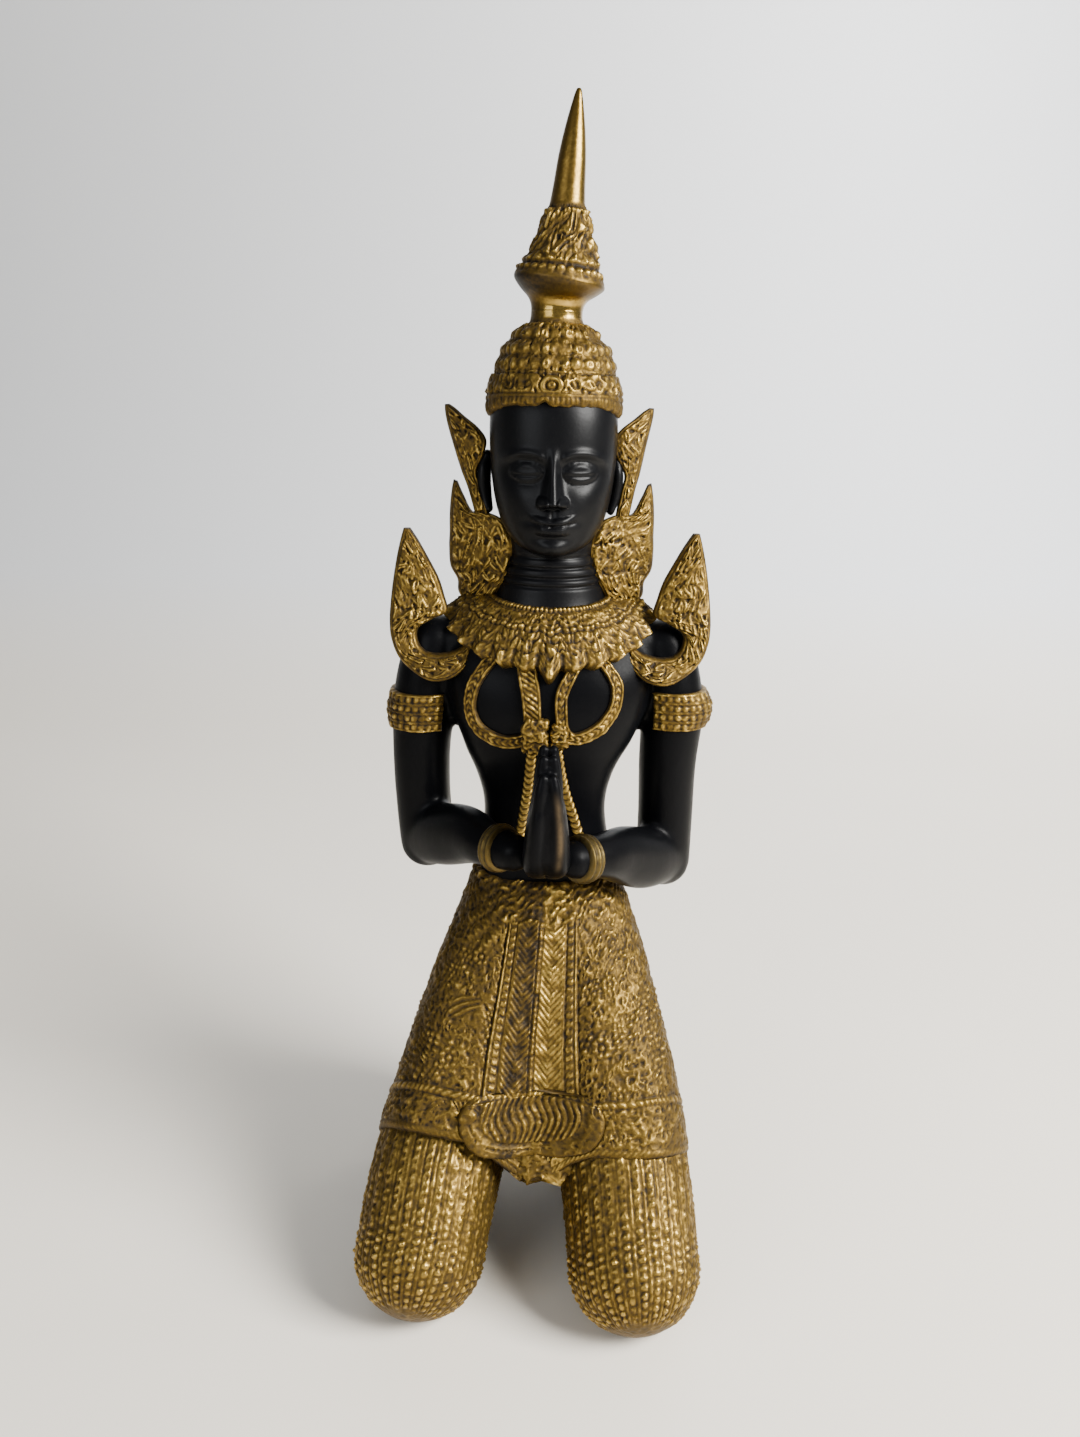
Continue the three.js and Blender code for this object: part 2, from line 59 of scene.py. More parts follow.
NODE = "thepphanom_figure"
LOW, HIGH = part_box(NODE)
TALL = 560.0
KNEES_FRONT = -132.5  # the front of the knees, from the torso's plumb line
MM = (HIGH.z - LOW.z) / TALL  # metres in a millimetre
PLUMB = (0.0, LOW.y / MM - KNEES_FRONT, 0.0)  # the plumb line's foot in the part's frame, in millimetres

# The figure's middle moves sideways with height: height, sideways
LEAN = [(0, -1.2), (40, -1), (85, 2), (125, 3.6), (180, 4.8), (230, 3.2), (255, 2.8), (285, 4),
        (440, 3.6), (475, 4.4), (512, 7.4), (560, 11.4)]

# Level rings: height, half width, half depth, middle's depth
TORSO = [(168, 37, 30, 0), (186, 35.6, 28, 0), (206, 33, 25.4, -1), (228, 31, 24, -2),
         (246, 34.6, 26, -3), (264, 42.6, 29.5, -4), (282, 49, 32, -4), (300, 52, 31.5, -2),
         (314, 50, 27, 1), (325, 40, 23, 3), (333, 29, 21, 3)]
NECK = [(316, 31, 28, 3), (326, 29.4, 26.6, 3), (334, 27.4, 24.6, 3), (340, 25.9, 23.4, 2.6),
        (346, 24.3, 22.4, 2), (351, 22.6, 21.6, 1.5), (357, 20.8, 21, 1), (368, 21, 21, 0)]
HEAD = [(356.6, 4, 6, -20), (358.6, 11, 14, -15), (362, 17, 20.4, -10), (368, 22.4, 26.4, -4.6),
        (377, 26.4, 30.4, -1.6), (390, 29, 32, -0.2), (406, 30.3, 32.6, 0), (421, 30.2, 31.6, 0),
        (429, 28, 28.6, 0), (436, 22, 22.6, 0)]

# Limbs: sideways, depth, height, half width, other half width
UPPER_ARM = [(57.6, 1, 311, 13.4, 15.5), (61, 0, 296, 14.8, 17), (62.8, 0, 278, 15.6, 17),
             (63, 1, 254, 14.6, 16), (63, 3, 228, 14.2, 15), (62, 4, 203.5, 14.2, 14.4)]
FOREARM = [(62, 3, 206.5, 13.6, 14.6), (50, -16, 214.5, 13.6, 15.9), (37, -36, 222, 12, 14.2),
           (27, -52, 224, 10.2, 10.8), (14, -65, 225, 8.8, 9)]
ARM_DROP = (0, 0.4, 1.6, 4, 6.6, 8)  # the arm on the viewer's right hangs this much lower, row by row
FOREARM_DROP = (8, 10.6, 8.8, 5.2, 3)
YOKE = [(-58, 1, 307, 13, 12), (-36, 2, 315, 17, 13), (0, 3, 318, 19, 14), (36, 2, 315, 17, 13),
        (58, 1, 307, 13, 12)]
SINK = 1.6  # how far the knees' rounds are sunk, for the flats that they stand on
THIGH = [(24, 8, 122, 30, 32), (33, -22, 101, 32, 32), (41, -52, 78, 31.4, 32),
         (47.5, -79, 55, 31, 31), (51.6, -102, 30.5 - SINK, 30.5, 30.5)]
SHIN = [(51, -98, 27 - SINK, 27, 27), (48.5, -60, 25.5 - SINK, 25, 25.5),
        (44, -20, 23.5 - SINK, 22.5, 23.5), (39, 14, 23, 18, 20), (35.5, 36, 27, 14, 15.5),
        (34, 50, 31, 12, 13)]
FOOT = [(33, 53, 50, 10.5, 11), (33.5, 53, 39, 12.5, 14), (34.5, 55, 27, 13, 13.5),
        (35.5, 57, 14, 14.2, 12), (36, 55, 8, 14.5, 10)]
KNEE_BACK = 6.0  # the knee on the viewer's left stands this much further back

# Crown, from its foot up to its tip: radius, height
CROWN = [(29.4, 425.0), (31.2, 425.2), (32.2, 427.2), (31.9, 429.6), (30.8, 431.6), (30.2, 434.4),
         (29, 437.6), (27.4, 440), (26.8, 443.6), (25.8, 445.8), (24.8, 447.4), (24.2, 450.4),
         (22.4, 452.4), (20.2, 454.4), (18.4, 457.8), (15.6, 459.8), (13.4, 461.2), (12.3, 463.4),
         (12.0, 466.4), (12.4, 470), (14.2, 473), (17.8, 476), (20.9, 479.6), (19.9, 483),
         (17.4, 486.6), (14.4, 491.6), (12.2, 497.6), (10.6, 503.4), (9.2, 509.6), (8.8, 511.4),
         (8.2, 512.8), (7.9, 515), (7.2, 522), (6.3, 533), (4.9, 543), (3.4, 551), (1.9, 557.8),
         (1.1, 560.2), (0.4, 561)]
FLANGE = {"at": 481.0, "tilt": 0.14, "reach": 14.0}  # the flange drops this much for each step sideways

# Skirt: waist ring, and half of its hem from the front round to the back
WAIST = (194.0, 36.6, 29.4, -1.0)
HEM = [(0, -88, 63.5), (15, -90, 74), (28, -91.5, 86), (44, -91, 89.5), (61, -87, 90.5),
       (75, -72, 82), (79, -50, 64), (72, -18, 50), (54, 20, 47), (27, 50, 55), (0, 57, 58)]
# How far the skirt swells between waist and hem, and the half turns over which lap becomes seat
SWELL = {"seat": 15.0, "lap": 4.0, "hip": 3.0, "seat_side": 6.0, "from": 0.45, "over": 0.35}
HEM_DROP = 7.2  # the hem hangs this much lower at the front on the viewer's right
HAND_X = 4.2  # sideways place of the palms' meeting plane


def ease(t):
    """Smooth step from 0 to 1."""
    t = np.clip(t, 0.0, 1.0)
    return t * t * (3.0 - 2.0 * t)


def blend(a, b, t):
    """From a to b by a share t."""
    return a + (b - a) * t


def spline(rows, t):
    """A uniform smooth curve through rows of numbers, at each t from 0 to the last row."""
    rows = np.asarray(rows, float)
    last = len(rows) - 1
    start = np.clip(np.floor(t).astype(int), 0, last - 1)
    f = (t - start)[..., None]
    a, b, c, d = (rows[np.clip(start + k, 0, last)] for k in (-1, 0, 1, 2))
    return b + 0.5 * f * (c - a + f * (2 * a - 5 * b + 4 * c - d + f * (3 * (b - c) + d - a)))


def finely(rows, steps):
    """The same curve cut into equal steps of each span."""
    return spline(rows, np.linspace(0, len(rows) - 1, (len(rows) - 1) * steps + 1))


def at_level(rows, z):
    """The other columns of a smooth curve, looked up by its first column."""
    fine = finely(rows, 16)
    fine = fine[np.argsort(fine[:, 0])]
    return [np.interp(z, fine[:, 0], fine[:, k]) for k in range(1, fine.shape[1])]


def middle_x(z):
    """Sideways place of the figure's middle at a height."""
    return at_level(LEAN, z)[0]


def unit(v):
    """Vectors at length 1."""
    return v / np.maximum(np.linalg.norm(v, axis=-1, keepdims=True), 1e-9)


def circle(count):
    """Equal angles over a full turn."""
    return np.arange(count) * (math.tau / count)


def squared(turn, power):
    """Cosine and sine bent towards a rounded square by a power over 2."""
    c, s = np.cos(turn), np.sin(turn)
    return np.sign(c) * np.abs(c) ** (2 / power), np.sign(s) * np.abs(s) ** (2 / power)


def level_rings(rows, around, steps, power, place=middle_x):
    """Level rounded-square rings over the figure's middle, whose half sizes follow a smooth curve."""
    z, a, b, y = (column[:, None] for column in finely(rows, steps).T)
    c, s = squared(circle(around), power)
    return np.stack(np.broadcast_arrays(place(z) + a * c, y + b * s, z), -1)


def dome_angles(count):
    """Angles towards a quarter turn for the rings of a round end."""
    return (np.arange(count) + 1) / (count + 0.4) * (math.pi / 2)


def limb_rings(rows, around, steps, upright, ends, power=2.0):
    """Rings square to a smooth path, with half sizes along it. Each end may be rounded by more rings,
    which step out along the path by the sine and shrink by the cosine of an angle."""
    path = finely(rows, steps)
    at, size = path[:, :3], path[:, 3:5]
    way = unit(np.gradient(at, axis=0))
    first, last = ends
    for count, end, sign in ((first, 0, -1.0), (last, -1, 1.0)):
        angle = dome_angles(count)
        out = at[end] + sign * way[end] * size[end].min() * np.sin(angle)[:, None]
        small = size[end] * np.cos(angle)[:, None]
        along = np.repeat(way[end][None], count, 0)
        if sign < 0:
            at, size, way = (np.vstack([x[::-1], y]) for x, y in ((out, at), (small, size), (along, way)))
        else:
            at, size, way = (np.vstack([y, x]) for x, y in ((out, at), (small, size), (along, way)))
    across = unit(np.cross(way, np.asarray(upright, float)))
    deep = np.cross(across, way)
    c, s = squared(circle(around), power)
    return (at[:, None] + across[:, None] * (size[:, 0, None] * c)[..., None]
            + deep[:, None] * (size[:, 1, None] * s)[..., None])


def on_side(rows, side, drops=None):
    """A limb's rows on one side of the figure, lowered by a list of drops; -1 is the viewer's left."""
    rows = np.asarray(rows, float).copy()
    rows[:, 0] = middle_x(rows[:, 2]) + side * rows[:, 0]
    if drops is not None:
        rows[:, 2] -= np.asarray(drops)
    return rows


def normals(grid):
    """Unit normals of a grid that closes in its second direction, turned away from each ring's middle."""
    around = np.roll(grid, -1, 1) - np.roll(grid, 1, 1)
    normal = unit(np.cross(around, np.gradient(grid, axis=0)))
    outward = (normal * (grid - grid.mean(1, keepdims=True))).sum()
    return normal if outward > 0 else -normal


def blurred(field, reach, looped):
    """A field's moving average over a square of cells, wrapped in the second direction, and in the first
    too where the grid is looped."""
    for axis in (0, 1):
        wrap = axis == 1 or looped
        wide = [(0, 0), (0, 0)]
        wide[axis] = (reach + 1, reach)
        total = np.cumsum(np.pad(field, wide, mode="wrap" if wrap else "edge"), axis)
        size = 2 * reach + 1
        if axis == 0:
            field = (total[size:] - total[:-size]) / size
        else:
            field = (total[:, size:] - total[:, :-size]) / size
    return field


def tone(height, reach, gain, base, looped=False):
    """How much gold shows: ridges stand over the height around them and are rubbed bright, while the dark
    patina stays in the hollows."""
    around = blurred(blurred(height, reach, looped), reach, looped)
    return np.clip(base + gain * (height - around), 0.0, 1.0)


def bead(distance, radius):
    """The rounded height of a bead, from 1 in the middle to 0 at its radius."""
    return np.sqrt(np.clip(1.0 - (distance / radius) ** 2, 0.0, 1.0))


def near(value, pitch):
    """Signed distance to the nearest multiple of a pitch."""
    return (value / pitch - np.round(value / pitch)) * pitch


def bead_row(x, y, pitch, radius):
    """A row of beads along x."""
    return bead(np.hypot(near(x, pitch), y), radius)


def twist(x, y, half, pitch):
    """A twisted cord along x: a roll crossed by slanted strands."""
    return bead(y, half) * (0.5 + 0.5 * np.abs(np.sin(math.pi * (x / pitch + 0.55 * y / half))))


def herringbone(x, y, half, pitch, slant=1.0):
    """Strokes that slant away on both sides of a middle line along x."""
    stroke = np.abs(np.sin(math.pi * (x + slant * np.abs(y)) / pitch)) ** 0.8
    return stroke * ease((half - np.abs(y)) / 0.6)


def spread(i, j, salt):
    """A number from 0 to 1 for each cell of a grid, scattered but always the same."""
    return np.modf(np.abs(np.sin(i * 12.9898 + j * 78.233 + salt * 3.77)) * 43758.5453)[0]


def warped(x, y, amount, size):
    """Both coordinates pushed about by slow waves, so that a pattern on them runs unevenly."""
    dx = np.sin(y / size + 1.3 * np.sin(x / (1.7 * size))) + 0.6 * np.sin(1.9 * y / size + 2.1 * x / size)
    dy = np.sin(x / size + 1.1 * np.sin(y / (1.5 * size)) + 2.0) + 0.6 * np.sin(2.3 * x / size - y / size)
    return x + amount * dx, y + amount * dy


def pebbles(x, y, pitch, tall, holes, salt=1):
    """Beads of uneven size and height in staggered rows, some with a hole, each moved a little."""
    row = np.round(y / (pitch * tall))
    shift = 0.5 * np.mod(row, 2)
    column = np.round(x / pitch - shift)
    dx = x - (column + shift + 0.26 * (spread(column, row, salt) - 0.5)) * pitch
    dy = (y - (row + 0.26 * (spread(column, row, salt + 1) - 0.5)) * pitch * tall) / tall
    size = pitch * (0.42 + 0.14 * spread(column, row, salt + 2))
    r = np.hypot(dx, dy)
    drilled = spread(column, row, salt + 3) < holes
    stud = bead(r, size) - 0.8 * drilled * bead(r, 0.45 * size)
    return (0.65 + 0.45 * spread(column, row, salt + 4)) * stud


def tongues(x, y, wide, tall, lean, salt):
    """Flame tongues in staggered rows: drops that are full below, pointed above, turned a little each
    its own way, with a groove down one side."""
    row = np.round(y / tall)
    shift = 0.5 * np.mod(row, 2)
    column = np.round(x / wide - shift)
    dx = x - (column + shift + 0.2 * (spread(column, row, salt) - 0.5)) * wide
    dy = y - row * tall
    angle = lean * (2 * spread(column, row, salt + 1) - 1)
    u = dx * np.cos(angle) + dy * np.sin(angle)
    k = np.clip((dy * np.cos(angle) - dx * np.sin(angle)) / (1.25 * tall) + 0.5, 0, 1)
    half = 0.62 * wide * np.sin(math.pi * k ** 0.6) ** 0.7 + 0.05
    drop = bead(u, half) - 0.45 * bead(u - 0.25 * wide * (1 - k), 0.14 * wide)
    return (0.6 + 0.5 * spread(column, row, salt + 2)) * drop


def scrolls(x, y, pitch, windings, jitter):
    """Scrollwork: in each cell of a staggered grid a strand winds out from a boss, left or right by turns,
    cut into leaf tips, and fine grains fill what is left between."""
    row = np.round(y / (pitch * 0.87))
    shift = 0.5 * np.mod(row, 2)
    column = np.round(x / pitch - shift)
    dx = x - (column + shift + jitter * (spread(column, row, 1) - 0.5)) * pitch
    dy = y - (row * 0.87 + jitter * (spread(column, row, 2) - 0.5)) * pitch
    r = np.hypot(dx, dy)
    angle = np.arctan2(dy, dx)
    hand = np.where(np.mod(column + row, 2) > 0.5, 1.0, -1.0)
    turn = angle * hand / math.tau + windings * r / (pitch * 0.5) + spread(column, row, 3)
    strand = (0.5 + 0.5 * np.cos(math.tau * turn)) ** 0.9
    tips = 0.78 + 0.22 * np.cos(6 * angle + 9 * spread(column, row, 4))
    inside = ease((pitch * 0.56 - r) / (pitch * 0.14))
    boss = 1.1 * bead(r, pitch * 0.13)
    grains = 0.6 * bead(np.hypot(near(x, 2.3), near(y, 2.1)), 1.2)
    tall = 0.65 + 0.45 * spread(column, row, 6)
    return np.maximum(np.maximum(strand * tips * inside, boss) * tall, grains * (1.0 - inside))


def lumps(x, y, size, salt):
    """Smooth uneven hills from 0 to 1: scattered heights on a square lattice, eased between its corners."""
    i, j = np.floor(x / size), np.floor(y / size)
    f, g = ease(x / size - i), ease(y / size - j)
    low = blend(spread(i, j, salt), spread(i + 1, j, salt), f)
    high = blend(spread(i, j + 1, salt), spread(i + 1, j + 1, salt), f)
    return blend(low, high, g)


def worms(x, y, size, salt):
    """Tangled strands that follow the halfway line of uneven hills."""
    a, b = 0.8 * x + 0.6 * y, 0.8 * y - 0.6 * x
    first = bead(lumps(x, y, size, salt) - 0.5, 0.17)
    return np.maximum(first, bead(lumps(a, b, 0.85 * size, salt + 5) - 0.5, 0.17))


def aged(height, x, y, rough, salt):
    """Relief that came out blunter here and there in the mould, with small lumps on top."""
    blunt = 0.6 + 0.75 * lumps(x, y, 4.2, salt)
    return height * blunt + rough * (lumps(x, y, 1.7, salt + 1) - 0.5)


def shell(grid, looped=False, **fields):
    """A closed skin over a grid of rings: rings joined in turn, looped end to end or closed by a hub at
    each end, with its faces turned outwards. Fields are numbers for each point of the grid."""
    rings, around = grid.shape[:2]
    ids = np.arange(rings * around).reshape(rings, around)
    ids = np.hstack([ids, ids[:, :1]])
    if looped:
        ids = np.vstack([ids, ids[:1]])
    quads = np.stack([ids[:-1, :-1], ids[:-1, 1:], ids[1:, 1:], ids[1:, :-1]], -1).reshape(-1, 4)
    points = grid.reshape(-1, 3)
    values = {name: np.broadcast_to(field, (rings, around)).reshape(-1) for name, field in fields.items()}
    tris = np.zeros((0, 3), int)
    if not looped:
        hub = len(points)
        points = np.vstack([points, grid[[0, -1]].mean(1)])
        first = np.stack([np.full(around, hub), ids[0, 1:], ids[0, :-1]], -1)
        last = np.stack([np.full(around, hub + 1), ids[-1, :-1], ids[-1, 1:]], -1)
        tris = np.vstack([first, last])
        for name, field in values.items():
            ends = np.broadcast_to(fields[name], (rings, around))[[0, -1]].mean(1)
            values[name] = np.concatenate([field, ends])
    corners = np.vstack([quads[:, :3], quads[:, [0, 2, 3]], tris])
    a, b, c = (points[corners[:, k]] for k in range(3))
    if (a * np.cross(b, c)).sum() < 0:
        quads, tris = quads[:, ::-1], tris[:, ::-1]
    return points, quads, tris, values


def add_field(mesh, name, values):
    """A number for each point of a mesh, for its material to read."""
    attribute = mesh.attributes.new(name, "FLOAT", "POINT")
    attribute.data.foreach_set("value", values.astype(np.float32))


def skins_mesh(name, shells):
    """One mesh from closed skins, in the part's metres, with their fields."""
    points, loops, starts, offset, length = [], [], [], 0, 0
    for verts, quads, tris, _ in shells:
        points.append(verts)
        for faces in (quads, tris):
            if len(faces):
                loops.append((faces + offset).reshape(-1))
                starts.append(length + np.arange(len(faces)) * faces.shape[1])
                length += faces.size
        offset += len(verts)
    points = (np.vstack(points) + PLUMB) * MM
    loops, starts = np.concatenate(loops), np.concatenate(starts)
    mesh = bpy.data.meshes.new(name)
    mesh.vertices.add(len(points))
    mesh.vertices.foreach_set("co", points.astype(np.float32).reshape(-1))
    mesh.loops.add(len(loops))
    mesh.loops.foreach_set("vertex_index", loops.astype(np.int32))
    mesh.polygons.add(len(starts))
    mesh.polygons.foreach_set("loop_start", starts.astype(np.int32))
    mesh.update(calc_edges=True)
    mesh.validate()
    for field in sorted({key for part in shells for key in part[3]}):
        values = [part[3].get(field, np.zeros(len(part[0]))) for part in shells]
        add_field(mesh, field, np.concatenate(values))
    return mesh


def in_scene(name, data):
    """A new object at the origin, linked to the scene."""
    made = bpy.data.objects.new(name, data)
    bpy.context.scene.collection.objects.link(made)
    return made


def add_piece(name, mesh, material):
    """A finished piece: it rides on the part's body and stands for the cast solid."""
    mesh.shade_smooth()
    mesh.materials.append(material)
    piece = in_scene(name, mesh)
    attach(piece, "root")
    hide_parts(NODE)


def make_piece(name, shells, material):
    """A piece of closed skins as they are."""
    add_piece(name, skins_mesh(name, shells), material)


def fused(name, shells, voxel, rounds, material, fields=None):
    """A piece of closed skins grown into one: a voxel remesh joins what overlaps, and smoothing rounds the
    joints. Fields are functions of the finished points, in the figure's millimetres."""
    raw = in_scene(name + "_raw", skins_mesh(name + "_raw", shells))
    remesh = raw.modifiers.new("join", "REMESH")
    remesh.mode = "VOXEL"
    remesh.voxel_size = voxel * MM
    relax = raw.modifiers.new("relax", "SMOOTH")
    relax.factor = 0.5
    relax.iterations = rounds
    graph = bpy.context.evaluated_depsgraph_get()
    mesh = bpy.data.meshes.new_from_object(raw.evaluated_get(graph))
    mesh.name = name
    bpy.data.meshes.remove(raw.data)
    points = np.zeros(len(mesh.vertices) * 3, np.float32)
    mesh.vertices.foreach_get("co", points)
    points = points.reshape(-1, 3).astype(float) / MM - PLUMB
    for field, function in (fields or {}).items():
        add_field(mesh, field, function(points))
    add_piece(name, mesh, material)


class Term:
    """One output in a material's node tree. Arithmetic between terms and numbers adds Math nodes."""

    def __init__(self, tree, socket):
        self.tree = tree
        self.socket = socket

    def math(self, operation, *values):
        """The output of a new Math node."""
        step = self.tree.nodes.new("ShaderNodeMath")
        step.operation = operation
        for target, value in zip(step.inputs, values):
            feed(self.tree, target, value)
        return Term(self.tree, step.outputs[0])

    def __add__(self, other):
        return self.math("ADD", self, other)

    __radd__ = __add__

    def __sub__(self, other):
        return self.math("SUBTRACT", self, other)

    def __rsub__(self, other):
        return self.math("SUBTRACT", other, self)

    def __mul__(self, other):
        return self.math("MULTIPLY", self, other)

    __rmul__ = __mul__

    def size(self):
        """Without its sign."""
        return self.math("ABSOLUTE", self)

    def held(self):
        """Kept between 0 and 1."""
        return self.math("MINIMUM", self.math("MAXIMUM", self, 0.0), 1.0)


def feed(tree, target, value):
    """Link a term to an input, or set the input to a number or a colour."""
    if isinstance(value, Term):
        tree.links.new(value.socket, target)
    elif hasattr(value, "__len__") and len(value) == 3 and target.type == "RGBA":
        target.default_value = (*value, 1.0)
    else:
        target.default_value = value


def node(tree, kind, output, settings, **values):
    """The output of a new node of any kind, by its place among those in use or by its name. Settings are
    set first, and values go to the inputs of those names, with _ for a space."""
    made = tree.nodes.new("ShaderNode" + kind)
    for key, value in settings.items():
        setattr(made, key, value)
    for key, value in values.items():
        name = key.replace("_", " ")
        feed(tree, next(s for s in made.inputs if s.enabled and s.name == name), value)
    if isinstance(output, int):
        return Term(tree, [s for s in made.outputs if s.enabled][output])
    return Term(tree, made.outputs[output])


def mixed(tree, factor, a, b):
    """A colour between two colours."""
    return node(tree, "Mix", 0, {"data_type": "RGBA"}, Factor=factor, A=a, B=b)


def new_material(name, colour, metallic, roughness):
    """An empty material with its shader, and the same look in the viewport."""
    material = bpy.data.materials.new(name)
    material.use_nodes = True
    material.diffuse_color = (*colour, 1.0)
    material.metallic = metallic
    material.roughness = roughness
    return material, material.node_tree, material.node_tree.nodes["Principled BSDF"]


def point_value(tree, name):
    """One of the piece's own fields."""
    return node(tree, "Attribute", "Fac", {"attribute_name": name})


def grain(tree, size, detail=3.0):
    """Even noise around 0.5 whose lumps are about a size in metres."""
    place = node(tree, "TexCoord", "Object", {})
    return node(tree, "TexNoise", "Fac", {}, Vector=place, Scale=1.0 / size, Detail=detail)


def gilt_material(name, look, plain, rubbed):
    """Antique gold: dark patina in the hollows, rubbed metal on the ridges, duller where wear is high; on
    some pieces the same tone field also carries painted highlights and painted shade. Fine curls break up
    the carved parts, and fade out where polish is high."""
    material, tree, shader = new_material(name, plain, 1.0, 0.4)
    patches = grain(tree, 0.022)
    specks = grain(tree, 0.0016, 2.0)
    polish = point_value(tree, "polish")
    carved = 1.0 - polish * 0.85
    curls = (1.0 - (grain(tree, 0.0042, 1.5) - 0.5).size() * 5.0).held()
    streaks = (patches - 0.5) * 0.5 + (specks - 0.5) * 0.5 + (curls - 0.5) * carved * 0.22
    shown = (point_value(tree, "wash") + streaks - point_value(tree, "wear")).held()
    low = (shown * 2.0).held()
    high = ((shown - 0.5) * 2.0).held()
    patina_and_shade_colour = mixed(tree, low, tuple(look.gold_dark), tuple(plain))
    colour = mixed(tree, high, patina_and_shade_colour, tuple(rubbed))
    feed(tree, shader.inputs["Base Color"], colour)
    feed(tree, shader.inputs["Metallic"], low * 0.75 + 0.2)
    rough = 0.60 - high * 0.24 - low * 0.06 + (specks - 0.5) * 0.2
    feed(tree, shader.inputs["Roughness"], rough - polish * 0.18)
    shader.inputs["Specular IOR Level"].default_value = 0.12
    relief = curls * carved * 0.8 + specks * 0.5
    bump = node(tree, "Bump", 0, {}, Strength=0.36, Distance=0.0004, Height=relief)
    feed(tree, shader.inputs["Normal"], bump)
    return material


def black_material(name, look, sheen):
    """Black paint of a given sheen, rubbed through to brown copper where rub is high."""
    material, tree, shader = new_material(name, look.black, 0.0, 0.4)
    clouds = grain(tree, 0.03)
    fine = grain(tree, 0.0012, 4.0)
    worn = point_value(tree, "rub")
    rub = (worn * 1.5 + (fine - 0.5) * 1.2 * worn).held()
    colour = mixed(tree, rub, tuple(look.black), tuple(look.copper))
    feed(tree, shader.inputs["Base Color"], colour)
    feed(tree, shader.inputs["Metallic"], rub * 0.5)
    feed(tree, shader.inputs["Roughness"], 0.37 + (clouds - 0.5) * 0.24 + (fine - 0.5) * 0.12)
    shader.inputs["Specular IOR Level"].default_value = sheen
    bump = node(tree, "Bump", 0, {}, Strength=0.2, Distance=0.0002, Height=fine)
    feed(tree, shader.inputs["Normal"], bump)
    return material


def finish(context, name):
    """One of the four materials, made the first time it is asked for: three finishes, and a copy of the
    black paint with less sheen that stands for shade.
    """
    if name not in bpy.data.materials:
        look = context.scene.deva_look
        makers = {
            "antique_gold": lambda: gilt_material(name, look, look.gold_mid, look.gold_bright),
            "dull_gold": lambda: gilt_material(name, look, look.gold_dull, look.gold_mid),
            "black_satin": lambda: black_material(name, look, 0.11),
            # The same black paint with less sheen: a shaded copy that renders the trunk, arms and hands
            # darker than the head and legs, as shade would.
            "black_shaded_copy": lambda: black_material(name, look, 0.05),
        }
        makers[name]()
    return bpy.data.materials[name]


TORSO_POWER = 2.4


def upper_arm(side):
    """The upper arm's rows on one side."""
    return on_side(UPPER_ARM, side, ARM_DROP if side > 0 else None)


def forearm(side):
    """The forearm's rows on one side."""
    return on_side(FOREARM, side, FOREARM_DROP if side > 0 else None)


def body_shells():
    """Trunk, shoulders and arms as lofts: rounded-square level rings for the trunk, round rings square to
    each limb's path, with round ends."""
    shells = [
        shell(level_rings(TORSO, 96, 6, TORSO_POWER)),
        shell(limb_rings(on_side(YOKE, 1), 64, 8, (0, 0, 1), (4, 4))),
    ]
    for side in (-1, 1):
        shells.append(shell(limb_rings(upper_arm(side), 64, 8, (0, 1, 0), (8, 4))))
        shells.append(shell(limb_rings(forearm(side), 64, 8, (0, 0, 1), (4, 5))))
    return shells


# Folds of the neck: height in front, depth
NECK_FOLDS = ((355.6, 0.8), (350.6, 1.1), (345.8, 1.2), (341.6, 1.0))
FOLD_RISE = 1.6  # how much higher a fold runs at the back
FOLD_HALF = 0.85


def neck_shell():
    """Level rings whose radius dips by a depth times exp(-((z - fold) / half)^2) at each fold, where the
    fold rises towards the back."""
    z, a, b, y = (column[:, None] for column in finely(NECK, 11).T)
    angle = circle(90)
    rise = FOLD_RISE * (0.5 + 0.5 * np.sin(angle))
    dip = sum(depth * np.exp(-((z - fold - rise) / FOLD_HALF) ** 2) for fold, depth in NECK_FOLDS)
    x = middle_x(z) + (a - dip) * np.cos(angle)
    return shell(np.stack(np.broadcast_arrays(x, y + (b - dip) * np.sin(angle), z), -1))


# Levels of the face, and how far each eye's middle stands to its side
EYE, BROW, NOSE, MOUTH = 396.0, 403.0, 381.0, 372.0
EYE_ASIDE = 12.4

# Soft swellings and hollows of the face: sideways, height, half width, half height, how far out
FACE_DOMES = (
    (EYE_ASIDE, EYE, 9.5, 6.0, -3.4),
    (2.6, NOSE - 0.6, 1.3, 0.9, -1.4),
    (0.0, MOUTH, 13.5, 9.0, 2.6),
    (0.0, MOUTH + 5.2, 1.3, 2.2, -0.8),
    (11.6, MOUTH + 1.8, 2.6, 2.4, -0.7),
    (0.0, MOUTH - 5.8, 7.0, 1.8, -1.0),
    (0.0, MOUTH - 10.8, 7.5, 4.2, 2.6),
    (17.0, NOSE + 3.5, 9.0, 9.0, 1.3),
)

# Curved lines on each eye: height over its middle, how much the line bows, half width, how far out
EYE_LINES = ((4.3, 1.0, 0.7, -0.8), (-1.7, 1.0, 0.55, -1.0), (-0.4, 1.0, 0.6, 0.5), (-4.4, 0.7, 0.8, -0.5))


def line(distance, half):
    """A soft line's height, exp(-(distance / half)^2)."""
    return np.exp(-(distance / half) ** 2)


def dome(x, z, at_x, at_z, wide, tall, height):
    """A soft bump, height times exp(-r^2) over an ellipse."""
    return height * np.exp(-((x - at_x) / wide) ** 2 - ((z - at_z) / tall) ** 2)


